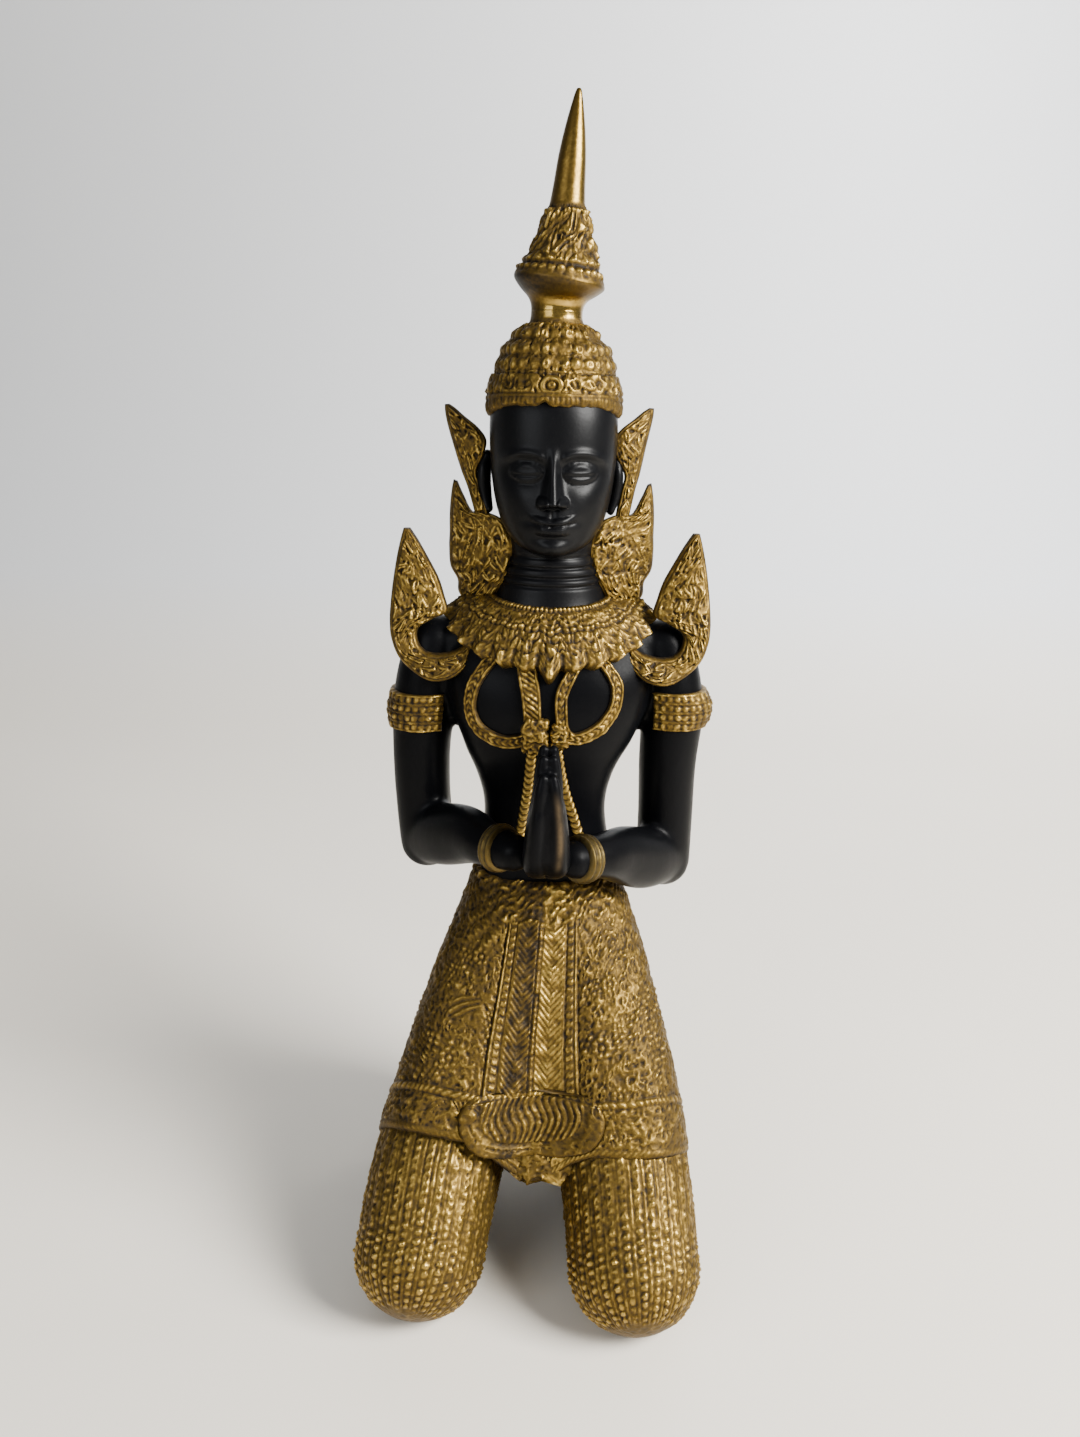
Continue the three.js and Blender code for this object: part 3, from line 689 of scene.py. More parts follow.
def face_height(x, z):
    """How far the face stands out in front of the plain oval of the head. The parts follow the usual rules
    of drawing: eyes at the middle of the head, three equal spaces from brow to chin, one eye's width
    between the eyes."""
    side = np.abs(x)
    out = sum(dome(side, z, *row) for row in FACE_DOMES)
    ridge = 1.5 * line(z - BROW - 1.6 + 0.028 * (side - 13.0) ** 2, 1.7)
    out += ridge * ease((side - 2.0) / 4.0) * ease((27.0 - side) / 7.0)
    ball = np.clip(1.0 - ((side - EYE_ASIDE) / 8.2) ** 2 - ((z - EYE) / 5.2) ** 2, 0.0, 1.0)
    out += 3.1 * np.sqrt(ball)
    across = (side - EYE_ASIDE) / 8.0
    on_eye = ease((1.0 - np.abs(across)) / 0.25)
    for level, bow, half, proud in EYE_LINES:
        out += proud * on_eye * line(z - EYE - level * (1 - bow * across ** 2), half)
    down = np.clip((BROW + 1.0 - z) / (BROW + 1.0 - NOSE), 0.0, 1.0)
    half = 2.3 + 2.2 * down ** 1.6
    above = ease((z - NOSE + 1.2) / 2.4) * ease((BROW + 6.0 - z) / 8.0)
    out += (1.6 + 7.0 * down ** 1.2) * np.exp(-(side / half) ** 2.4) * above
    wing = np.clip(1.0 - ((side - 4.7) / 2.9) ** 2 - ((z - NOSE - 1.6) / 3.0) ** 2, 0.0, 1.0)
    out += 3.4 * np.sqrt(wing)
    smile = z - MOUTH - 1.6 * (side / 10.0) ** 2
    lips = ease((12.4 - side) / 8.0)
    upper_half = 2.4 - 0.9 * line(side, 1.6)
    out += 1.9 * lips * bead(smile - 1.5, upper_half)
    out += 2.1 * lips * bead(smile + 2.2, 2.5) * ease((10.6 - side) / 6.5)
    out -= 1.5 * ease((12.6 - side) / 5.0) * line(smile, 0.75)
    return out


def front_angles(count, pull):
    """Angles round a ring from the front, t - pull sin t, which lie closer together in front."""
    t = circle(count)
    return t - pull * np.sin(t)


HEAD_POWER = 2.12


def head_shell():
    """Level rings of half sizes a and b, x = a sin(t), y = -b cos(t), with the face's height added to the
    front along the outward direction."""
    z, a, b, y = (column[:, None] for column in finely(HEAD, 20).T)
    angle = front_angles(164, 0.62)
    c, s = squared(angle, HEAD_POWER)
    x = a * s
    height = face_height(x, z + 0 * x) * ease((np.cos(angle) + 0.1) / 0.5)
    return shell(np.stack(np.broadcast_arrays(middle_x(z) + x, y - b * c - height, z), -1))


# Ear, as the limbs are given
EAR = [(29.4, 4, 402, 2.4, 3.6), (30.8, 5, 397, 3.6, 6.4), (31.2, 5, 390, 3.8, 6.6),
       (30, 3, 382, 3.2, 4.4), (28.6, 1, 377, 2.4, 3)]
EAR_OUT = 2.4  # the ear on the viewer's left stands this much further out
EAR_DEEP = 2.6  # how deep the outward side is hollowed


def ear_shell(side):
    """A flat limb whose outward side is hollowed within a rim, by the sine of the way down the ear."""
    rows = on_side(EAR, side)
    rows[:, 0] -= EAR_OUT * (side < 0)
    grid = limb_rings(rows, 40, 8, (0, 1, 0), (5, 5))
    reach = grid - grid.mean(1, keepdims=True)
    depth = np.abs(reach[..., 1])
    share = depth / np.maximum(depth.max(1, keepdims=True), 0.1)
    hollow = ease(side * reach[..., 0] / 1.5) * ease((0.72 - share) / 0.4)
    down = np.sin(np.linspace(0, math.pi, len(grid)))[:, None]
    grid[..., 0] -= side * EAR_DEEP * hollow * down
    return shell(grid)


# Half a hand, and what fills the pair of them: height, half width, half depth, middle's depth
PALM = [(214.5, 2.4, 3.4, -67), (216.8, 4.6, 7.4, -68), (222, 5.7, 11, -70), (230, 5.7, 13.2, -72),
        (241, 5.1, 14, -73.5), (250, 4.4, 13.6, -74.2), (254, 3.7, 12.4, -74.4)]
PALM_CORE = [(219, 6, 8, -69), (229, 7, 12.2, -72), (243, 6, 13, -73.4), (255, 4, 12.6, -74.2),
             (265, 2.4, 9.6, -75), (271, 1.4, 5, -75.4)]
PALM_POWER = 2.6
KNUCKLES = 242.0

# Fingers: depth beside the hand's middle, height of the tip. The thumb: as the limbs, from the palms' plane
FINGERS = [(-9.9, 269.6), (-3.4, 276.6), (3.2, 279.6), (9.4, 276)]
THUMB = [(6.4, -62.5, 225, 4.2, 4.6), (5.2, -60.6, 241, 3.6, 3.9), (3.9, -60.6, 254, 3.1, 3.3),
         (3.3, -61.4, 261, 2.5, 2.6)]


def finger_rows(y, tip):
    """A finger's rows from knuckle to tip, as the limbs, from the palms' plane."""
    rise = tip - KNUCKLES
    return [(4.6, -73.6 + y, KNUCKLES, 3.5, 4.3), (3.8, -74 + y, KNUCKLES + 0.38 * rise, 3.3, 3.4),
            (3.1, -74.6 + 0.96 * y, KNUCKLES + 0.7 * rise, 3.0, 3.2),
            (2.2, -75 + 0.88 * y, tip - 2.2, 2.3, 2.3)]


def hand_shells(side):
    """One hand on edge: a palm of level rings beside the figure's hand line, four fingers that lean
    together to their tips, and a thumb behind."""
    def beside(z):
        return HAND_X + side * at_level(PALM, z)[0] * 0.9
    shells = [shell(level_rings(PALM, 48, 6, PALM_POWER, beside))]
    for rows in (*(finger_rows(y, tip) for y, tip in FINGERS), THUMB):
        rows = np.array(rows)
        rows[:, 0] = HAND_X + side * rows[:, 0]
        shells.append(shell(limb_rings(rows, 24, 8, (0, 1, 0), (3, 5))))
    return shells


def rubbed_hands(points):
    """Paint rubbed off along the front edge of the hand on the viewer's right."""
    x, y, z = points.T
    down = np.clip((268 - z) / 46, 0, 1)
    centre = 2.4 + 3.6 * np.sin(down * math.pi * 0.75)
    streak = np.exp(-((x - HAND_X - centre) / 1.3) ** 2) * ease((-79 - y) / 4)
    patchy = 0.45 + 0.75 * lumps(x, z, 5.0, 91)
    return np.clip(0.5 * streak * patchy * ease((264 - z) / 10) * ease((z - 219) / 8), 0, 1)


def even(rows, step, columns=2):
    """A smooth curve through rows, cut into equal lengths near a step over its first columns."""
    fine = finely(rows, 24)
    run = run_along(fine[:, :columns])
    at = np.linspace(0, run[-1], int(run[-1] / step) + 1)
    return np.stack([np.interp(at, run, column) for column in fine.T], 1)


def run_along(points):
    """Length along a chain of points, from its first."""
    return np.concatenate([[0.0], np.cumsum(np.linalg.norm(np.diff(points, axis=0), axis=1))])


def round_row(angle, y, at, radius, pitch, size, tall=1.0):
    """A row of beads round a ring, as many as fit at a pitch."""
    count = round(math.tau * radius / pitch)
    across = near(angle, math.tau / count) * radius
    return bead(np.hypot(across, (y - at) / tall), size)


def stretch(at, low, high, fade):
    """1 between two places, easing to 0 at both over a length inside them."""
    return ease((at - low) / fade) * ease((high - at) / fade)


# Levels on the crown, low and high
RIM = (425.8, 429.4)
BAND = (430.6, 438.8)
TIERS = (439.0, 461.0)
NECK_AND_FLANGE = (462.0, 482.0)
LEAFED_CONE = (487.0, 511.0)

# Crown tiers: height of the row of ovals, height of the small beads below it
CROWN_TIERS = ((443.2, 439.8), (449.6, 446.6), (456.2, 453.6))
RIM_RIB = 2.3
OVAL_PITCH = 4.9
LEAF_RUN = 75.6  # length that a full turn stands for in the cone's leaves
ROSETTE = (-1.6, 434.0)


def crown_relief(angle, v, up, radius_at):
    """Heights on the crown by angle and length v up its profile: a ribbed rim, a band of scrolls with a
    rosette, tiers of ovals and small beads, a smooth neck and flange, and a cone of slanted leaves. The
    functions give the length up the profile and the radius at a height."""
    ribs = round(math.tau * radius_at(428) / RIM_RIB)
    height = 0.4 * np.abs(np.sin(math.pi * ribs * angle / math.tau))
    height = height * stretch(v, *map(up, RIM), 0.8)
    height = np.maximum(height, 0.7 * bead(v - up(430.0), 0.9))
    band = radius_at(434)
    x, y = warped(angle * band, v - up(434.2), 0.7, 3.0)
    pattern = np.maximum(1.5 * worms(x, y, 3.4, 3), 1.3 * pebbles(x, y, 3.1, 1.0, 0.2))
    mark = np.hypot((angle * band - ROSETTE[0]) * 0.86, v - up(ROSETTE[1]))
    medal = np.maximum(1.7 * bead(mark - 3.5, 1.3), 1.6 * bead(mark, 2.0) - 0.7 * bead(mark, 0.8))
    pattern = blend(medal, pattern, ease((mark - 4.6) / 0.5))
    height = height + pattern * stretch(v, *map(up, BAND), 0.6)
    for number, (ovals, ledge) in enumerate(CROWN_TIERS):
        radius = radius_at(ovals)
        count = round(math.tau * radius / OVAL_PITCH)
        slid = angle + np.sin(7 * angle + number) / radius
        cell = np.round(slid / (math.tau / count))
        big = 0.7 + 0.6 * spread(cell, number, 3)
        row = 1.7 * big * round_row(slid, v, up(ovals), radius, OVAL_PITCH, 2.7, 1.2)
        drilled = spread(cell, number, 7) > 0.6
        row = row - 0.7 * round_row(slid, v, up(ovals), radius, OVAL_PITCH, 0.9) * drilled
        small = 1.1 * round_row(angle + 0.3 * number, v, up(ledge), radius_at(ledge), 3.1, 1.6)
        height = np.maximum(height, np.maximum(row, small))
    tangle = worms(angle * 26, v, 3.2, 17)
    height = np.maximum(height, 1.3 * stretch(v, *map(up, TIERS), 0.5) * tangle)
    height = np.maximum(height, 1.5 * round_row(angle, v, up(460.2), radius_at(460.2), 4.0, 1.9))
    height = np.maximum(height, 1.2 * round_row(angle, v, up(484.4), 17.8, 4.0, 1.9, 0.8))
    low, high = map(up, LEAFED_CONE)
    rise = v - low
    x, y = warped(angle / math.tau * LEAF_RUN - 0.45 * rise, rise, 1.1, 4.0)
    cone = np.maximum(2.3 * tongues(x, y, 6.0, 9.6, 0.7, 5), 1.2 * worms(x, y, 3.0, 8))
    height = height + cone * stretch(v, low - 0.5, high, 1.0)
    smooth = stretch(v, *map(up, NECK_AND_FLANGE), 1.0) + ease((v - up(511.6)) / 1.0)
    return np.where(smooth > 0.5, height, aged(height, angle * 24, v, 0.6, 21))


def crown_shells():
    """Profile r(v), z(v) turned about the figure's middle, x = r sin(t), y = -r cos(t), plus the relief
    along the normal. The foot and the top are two skins that overlap at the smooth neck."""
    profile = even(CROWN, 0.55)
    run = run_along(profile)

    def up(z):
        return np.interp(z, profile[:, 1], run)

    def radius_at(z):
        return float(np.interp(z, profile[:, 1], profile[:, 0]))

    shells = []
    for low, high, around in ((0, 467.5, 330), (465, 561, 190)):
        keep = (profile[:, 1] >= low) & (profile[:, 1] <= high)
        r, z = profile[keep].T
        v = run[keep][:, None]
        angle = front_angles(around, 0.45)
        signed = np.where(angle > math.pi, angle - math.tau, angle)[None]
        r, z = r[:, None], z[:, None] + 0 * signed
        tilt = FLANGE["tilt"] * np.clip(1 - np.abs(z - FLANGE["at"]) / FLANGE["reach"], 0, 1)
        peak = 2.0 * np.exp(-((signed * 31 + 4.5) / 2.2) ** 2) * ease((430 - z) / 4)
        peak = peak - 4.8 * ease((np.abs(signed) - 0.6) / 0.9) * ease((433 - z) / 8)
        x = r * np.sin(signed)
        grid = np.stack([middle_x(z) + x, -r * np.cos(signed), z - tilt * x + peak], -1)
        height = crown_relief(signed, v, up, radius_at)
        height = height * blend(1.0, 0.8, ease((np.abs(signed) - 1.7) / 0.8))
        wash = tone(height, 4, 0.62, 0.38)
        smooth = ease((z - 463) / 1.5) * ease((482 - z) / 2) + ease((z - 512) / 2)
        smooth = np.clip(smooth, 0, 1)
        # Painted light on the smooth neck and spire: lighter towards the viewer's right, as if the light
        # came from that side, with a painted highlight on the front of the neck.
        wash = blend(wash, 0.56 + 0.18 * np.sin(signed) + dome(signed, z, -0.1, 468, 0.55, 5, 0.5), smooth)
        # Painted shade on the underside of the flange.
        wash = wash - 0.40 * ease((z - 471.5) / 4) * ease((481.5 - z) / 2)
        face = grid + normals(grid) * height[..., None]
        shells.append(shell(face, wash=np.clip(wash, 0, 1), polish=smooth))
    return shells


# Leaf-shaped plates between two edges: outer sideways and height, inner sideways and height
EAR_FLAME = [(35.8, 366, 30, 366), (38.9, 379, 31, 376), (41, 387, 33.2, 385), (43.2, 393.4, 35.4, 393.6),
             (45.2, 400.5, 31.6, 402), (47, 407.5, 30, 409), (48.6, 413.5, 34, 414.8),
             (49.8, 418.6, 40.3, 419.6), (50.4, 422.4, 44.8, 423.2), (50.4, 425.0, 48.0, 425.2)]
EAR_LEAF = [(48.4, 389.6, 46.2, 388.8), (49.4, 384.8, 43.0, 382.2), (50.2, 378, 38.4, 374.8),
            (50.6, 371, 31, 374.8), (50.6, 364, 22.6, 371), (50.9, 357, 18.6, 362),
            (50.2, 347.5, 18.8, 352), (46.6, 341, 22.4, 342.6), (46, 334.6, 27, 334.4),
            (41.4, 329.4, 31.6, 329.2), (35.8, 325.8, 34.4, 326)]
SHOULDER = [(35.4, 309.5, 38.6, 316.5), (40.4, 302.4, 43.4, 311.6), (47.6, 297, 48.6, 309.4),
            (56.5, 295.2, 54.8, 308.4), (65.4, 298.6, 60.4, 309.4), (73.4, 305.4, 64, 313.4),
            (77.4, 314, 64.2, 319.4),
            (78.4, 322, 57, 324.2), (78.2, 329, 50.2, 327.6), (77.4, 338, 52, 336),
            (76.2, 347, 54.8, 344), (74.8, 355, 59.6, 352.8), (73.2, 362, 64.6, 361.4),
            (71.8, 366.8, 68.4, 366.8)]
TIP_LEAN = {"from": 370.0, "over": 50.0, "by": -2.2}  # both ear flames' tips lean to the viewer's left
# The plates' ring step, points across the back, half width of the rim, and size of the flame tongues
PLATE = {"step": 0.70, "back": 14, "rim": 0.95, "scale": 4.6}


def ear_depth(x, _):
    """The ear plates' middle runs back as they spread."""
    return 3.0 + 0.5 * (x - 35.0)


def shoulder_depth(x, z):
    """The shoulder plates' middle comes forward downwards, most at the hook on the chest."""
    down = np.clip((366.0 - z) / 70.0, 0, 1)
    inward = np.clip((77.0 - x) / 33.0, 0, 1)
    low = np.clip((330.0 - z) / 34.0, 0, 1)
    return -2.0 - 14.0 * down ** 1.3 - 7.0 * inward * low


def plate_shell(rails, side, depth, thick, columns, leaning=0.0):
    """A carved plate between an outer and an inner edge. With v from -1 to 1 across, its faces stand
    thick / 2 (1 - v^6)^(1/2) to the front and back of the depth, and the front carries a rim along its
    edges and flame tongues."""
    rows = even(rails, PLATE["step"], 4)
    outer, inner = rows[:, None, :2], rows[:, None, 2:]
    v = np.concatenate([np.linspace(-1, 1, columns), np.linspace(1, -1, PLATE["back"] + 2)[1:-1]])
    front = np.arange(len(v)) < columns
    flat = blend(outer, inner, ((v + 1) / 2)[None, :, None])
    x, z = flat[..., 0], flat[..., 1]
    wide = np.linalg.norm(outer - inner, axis=-1)
    run = run_along(rows.reshape(-1, 4) / math.sqrt(2))[:, None]
    round_edge = np.sqrt(np.clip(1 - np.abs(v) ** 6, 0, 1))[None]
    edge = (1 - np.abs(v))[None] * wide / 2
    rim = bead(edge - 1.1, PLATE["rim"]) * (0.75 + 0.25 * np.sin(run / 2.3 + 3 * v[None]))
    across = v[None] * wide / 2 + 1.7 * side
    a, b = warped(across, run, 1.1, 5.0)
    scale = PLATE["scale"]
    flames = 2.0 * tongues(a, b, 0.62 * scale, 1.5 * scale, 0.8, 3 + side)
    carved = np.maximum(flames, 1.2 * worms(a, 0.7 * b, 2.9, 7 + side))
    carved = aged(carved, across, run, 0.7, 13 + side)
    inside = ease((edge - 1.6) / 0.8)
    height = np.where(front[None], np.maximum(rim, carved * inside), 0.35 * bead(edge - 1.6, 1.6))
    height = height * np.minimum(1, wide / 7.0)
    swell = 1.6 * (1 - v[None] ** 2) * np.minimum(1, wide / 16.0)
    lift = thick / 2 * round_edge + height + np.where(front[None], swell, 0.4 * swell)
    sign = np.where(front, -1.0, 1.0)[None]
    y = depth(x, z) + sign * lift
    lean = leaning * ease((z - TIP_LEAN["from"]) / TIP_LEAN["over"])
    grid = np.stack([middle_x(z) + side * x + lean, y, z], -1)
    wash = tone(height, 3, 0.8, 0.40) * ease(edge / 0.9) * np.where(front[None], 1.0, 0.75)
    worn_tip = 0.8 * ease((4.2 - wide) / 3.0)
    return shell(grid, wash=np.clip(wash, 0, 1), wear=worn_tip)


def flame_shells():
    """A tall flame and a leaf behind each ear, and a flame on each shoulder."""
    shells = []
    for side in (-1, 1):
        shells.append(plate_shell(EAR_FLAME, side, ear_depth, 3.6, 34, TIP_LEAN["by"]))
        shells.append(plate_shell(EAR_LEAF, side, ear_depth, 4.6, 60))
        shells.append(plate_shell(SHOULDER, side, shoulder_depth, 5.0, 56))
    return shells


# The collar's inner and outer edge: half width, depths in front and behind, heights at side, front and back
NECKLINE = {"wide": 26.0, "front": -20.5, "back": 25.0, "side_z": 336.0, "front_z": 332.0, "back_z": 337.0}
EDGE = {"wide": 50.4, "front": -36.5, "back": 28.0, "side_z": 328.0, "front_z": 304.5, "back_z": 306.0}
# The collar's middle depth, its edges' power, thickness, swell, sunk underside, tilt, and leaves round it
COLLAR = {"middle": 3.0, "round": 0.75, "thick": 3.4, "belly": 2.0, "sunk": 7.0, "tilt": 0.8,
          "leaves": 26, "notch": 2.6, "point": 3.6}


def collar_edge(shape, s, c):
    """An edge of the collar by the sine and cosine of its place from the front."""
    front = c > 0
    depth = np.where(front, shape["front"], shape["back"])
    z = np.where(front, shape["front_z"], shape["back_z"])
    end = np.abs(c)
    return np.stack([shape["wide"] * s, blend(COLLAR["middle"], depth, end),
                     blend(shape["side_z"], z, end ** COLLAR["round"])], -1)


def collar_shell():
    """Sections from the neckline, q = 0, to the scalloped edge, q = 1, swelling by sin(pi q), looped round
    the neck, with rows of beads, scrolls, cord and veined leaves on top."""
    angle = front_angles(460, 0.45)[:, None]
    s, c = np.sin(angle[:, 0]), np.cos(angle[:, 0])
    inner = collar_edge(NECKLINE, s, c)[:, None]
    outer = collar_edge(EDGE, s, c)[:, None]
    way = unit(outer - inner)
    step = math.tau / COLLAR["leaves"]
    off = near(angle, step) / (step / 2)
    scallop = -COLLAR["notch"] * np.abs(off) ** 1.6
    signed = np.where(angle > math.pi, angle - math.tau, angle)
    scallop = scallop + COLLAR["point"] * ease((0.5 * step - np.abs(signed)) / 0.12)
    out = unit(np.stack([s, -c, np.full_like(s, COLLAR["tilt"])], -1))[:, None]
    q = np.linspace(0, 1, 46)[None]
    radius = np.linalg.norm(blend(inner, outer, 0.6)[..., :2] - [0, COLLAR["middle"]], axis=-1)
    x = signed * radius
    length = np.linalg.norm(outer - inner, axis=-1)
    d = q * length
    height = 1.2 * bead_row(x, d - 1.8, 2.5, 1.3)
    height = np.maximum(height, 0.8 * twist(x, d - 4.3, 0.9, 2.2))
    a, b = warped(x, d, 0.6, 4.0)
    upper = np.maximum(1.3 * pebbles(a, b, 2.7, 0.95, 0.3), 1.4 * worms(a, b, 3.1, 2))
    height = np.maximum(height, upper * ease((d - 4.8) / 0.5) * ease((11.6 - d) / 0.5))
    height = np.maximum(height, 1.4 * bead_row(x, d - 13.0, 3.1, 1.6))
    lower = np.maximum(1.6 * tongues(a, -b, 4.2, 5.4, 0.6, 9), 1.1 * pebbles(a, b, 2.6, 1.0, 0.3, 4))
    height = np.maximum(height, lower * ease((d - 14.6) / 0.6))
    fall = np.clip((d - (length - 6.5)) / 6.5, 0, 1)
    mid = np.abs(off)
    leaf = 0.5 + 1.0 * bead(mid, 0.3) + 0.5 * np.abs(np.sin(math.pi * (2.2 * fall + 1.6 * mid)))
    leaf = leaf * ease((0.94 - mid) / 0.2)
    height = aged(blend(height, leaf, ease(fall / 0.25)), x, d, 0.6, 31)
    end = inner + way * (length + scallop)[..., None]
    thick = COLLAR["thick"] * blend(0.5, 0.62, q) + COLLAR["belly"] * np.sin(math.pi * q)
    face = blend(inner, end, q[..., None]) + out * (thick + height)[..., None]
    sunk = np.linspace(1, 0, 5)[None]
    under = blend(inner, end, sunk[..., None]) - out * COLLAR["sunk"]
    grid = np.concatenate([face, under], 1)
    grid[..., 0] += middle_x(grid[..., 2])
    wash = tone(height, 3, 0.8, 0.36, True)
    wash = np.concatenate([np.clip(wash, 0, 1), np.full(under.shape[:2], 0.2)], 1)
    return shell(grid, True, wash=wash)


def chest_depth(x, z):
    """Depth of the trunk's front under a point, from its rounded-square ring at that height."""
    a, b, y = at_level(TORSO, z)
    share = np.clip(np.abs(x - middle_x(z)) / a, 0, 0.985)
    return y - b * (1 - share ** TORSO_POWER) ** (1 / TORSO_POWER)


def chest_frame(x, z):
    """Points on the trunk's front, and at each the directions outwards and across the chain of points."""
    at = np.stack([x, chest_depth(x, z), z], -1)
    way = unit(np.gradient(at, axis=0))
    dx = (chest_depth(x + 1, z) - chest_depth(x - 1, z)) / 2
    dz = (chest_depth(x, z + 1) - chest_depth(x, z - 1)) / 2
    out = unit(np.stack([dx, -np.ones_like(dx), dz], -1))
    return at, out, unit(np.cross(way, out))


# Bands on the chest by their middle line: sideways from the chest's middle, height, half width
CHEST_MIDDLE = 4.0
LOOP_LEFT = [(-10.8, 310, 4.6), (-10.6, 304, 4.7), (-8.6, 293, 4.6), (-7.6, 281, 4.2), (-8.4, 273.5, 3.4),
             (-13.5, 270.2, 3.3), (-23, 269.4, 3.4), (-33, 274.6, 3.4), (-37.4, 284, 3.2),
             (-36.2, 294.6, 3.3), (-31.6, 303, 3.2), (-26.5, 309, 3.0)]
LOOP_RIGHT = [(14.4, 309.5, 2.8), (10.8, 303.3, 2.9), (6.3, 294, 3.1), (6.0, 284.2, 3.0), (7.6, 275.5, 3.0),
              (12.9, 271.8, 3.0), (23.4, 276.0, 3.4), (30.8, 285.6, 3.0), (32.2, 296.4, 3.1),
              (28.2, 304, 2.8), (23.9, 309, 2.6)]
CHAIN_LEFT = [(-7.2, 272, 0), (-7.8, 262, 0), (-8.8, 248, 0), (-10.6, 232, 0), (-12.6, 218, 0)]
CHAIN_RIGHT = [(4.4, 270, 0), (5.4, 260, 0), (8.6, 244, 0), (12.8, 230, 0), (17.6, 214, 0)]


def band_shell(rows, pitch, slanted_until=0.0):
    """A flat band on the chest: two raised edges with a herringbone between, or slanted strokes at its
    start."""
    rows = even(rows, 0.62)
    x, z, half = rows[:, 0] + CHEST_MIDDLE, rows[:, 1], rows[:, 2]
    at, out, across = chest_frame(x, z)
    run = run_along(at)[:, None]
    v = np.linspace(-1, 1, 26)[None]
    w = v * half[:, None]
    edges = 0.75 * bead(np.abs(w) - (half[:, None] - 0.75), 0.75)
    strokes = 0.7 * herringbone(run, w, half[:, None] - 1.3, pitch)
    inside = ease((half[:, None] - 1.2 - np.abs(w)) / 0.6)
    slanted = np.abs(np.sin(math.pi * (run + 0.9 * w) / 2.9)) * inside
    middle = np.where(run < slanted_until, slanted, strokes)
    height = aged(np.maximum(edges, middle), w, run, 0.7, 41)
    face = at[:, None] + across[:, None] * w[..., None] + out[:, None] * (1.3 + height)[..., None]
    under = np.linspace(1, -1, 4)[None]
    sunk = at[:, None] + across[:, None] * (under * half[:, None])[..., None] - out[:, None] * 2.2
    grid = np.concatenate([face, sunk], 1)
    wash = np.concatenate([np.clip(tone(height, 3, 1.1, 0.4), 0, 1), np.full(sunk.shape[:2], 0.2)], 1)
    return shell(grid, wash=wash)


def chain_shell(rows, pitch):
    """A cord of lapped links on the chest: its radius follows sin(pi f)^0.6 of the part-link f, which is
    bowed round the cord, f = run / pitch + 0.42 cos(t)^2."""
    rows = even(rows, 0.42)
    x, z = rows[:, 0] + CHEST_MIDDLE, rows[:, 1]
    at, out, across = chest_frame(x, z)
    run = run_along(at)[:, None]
    t = circle(32)[None]
    part = np.mod(run / pitch + 0.42 * np.cos(t) ** 2, 1.0)
    height = np.sin(math.pi * part) ** 0.6
    c, s = np.cos(t), np.sin(t)
    wide, deep = 1.5 + 1.2 * height, 1.0 + 1.6 * height
    middle = (at + out * 1.2)[:, None]
    grid = middle + across[:, None] * (wide * c)[..., None] + out[:, None] * (deep * s)[..., None]
    return shell(grid, wash=np.clip(0.95 * height - 0.12, 0, 1))


def knot_shell(x, top, low, wide, deep, turns):
    """A small block of wrapped cord: rounded-square level rings with strokes round it."""
    z = np.array([top, top - 1.5, (top + low) / 2, low + 1.5, low])
    share = np.array([0.55, 0.92, 1.0, 0.92, 0.55])
    rows = np.stack([z, wide * share, deep * share, chest_depth(x, z) - 1.4], 1)
    grid = level_rings(rows, 72, 12, 3.2, lambda level: x + 0 * level)
    angle = circle(72)[None]
    level = grid[..., 2]
    side = grid[..., 0] - x
    tangle = 1.5 * worms(side + x, level, 2.6, 45)
    bound = np.maximum(0.8 * herringbone(level, side, wide, turns, 0.8), tangle)
    height = aged(bound * ease((-np.sin(angle) + 0.4) / 0.4), side, level, 1.2, 43)
    grid = grid + normals(grid) * height[..., None]
    return shell(grid, wash=np.clip(tone(height, 3, 1.1, 0.48), 0, 1))


def band_shells(sizes):
    """Two loops, two chains that hang from them, and the knots where they meet."""
    pitch = sizes.chain_pitch / MM
    return [
        band_shell(LOOP_LEFT, 3.2, 36),
        band_shell(LOOP_RIGHT, 3.2),
        chain_shell(CHAIN_LEFT, pitch),
        chain_shell(CHAIN_RIGHT, pitch),
        knot_shell(-2.0, 281.5, 264.6, 5.4, 3.2, 2.8),
        knot_shell(9.4, 279, 267.4, 3.3, 2.4, 2.6),
    ]


# The armband's edges, how far it stands out, its lift on the viewer's right, how deep it sinks into the arm,
# its rows of beads, and where the first lies
ARMBAND = {"low": 268.0, "high": 287.4, "proud": 1.3, "lift": 3.2, "sunk": 1.4, "rows": 4, "edge": 2.6}


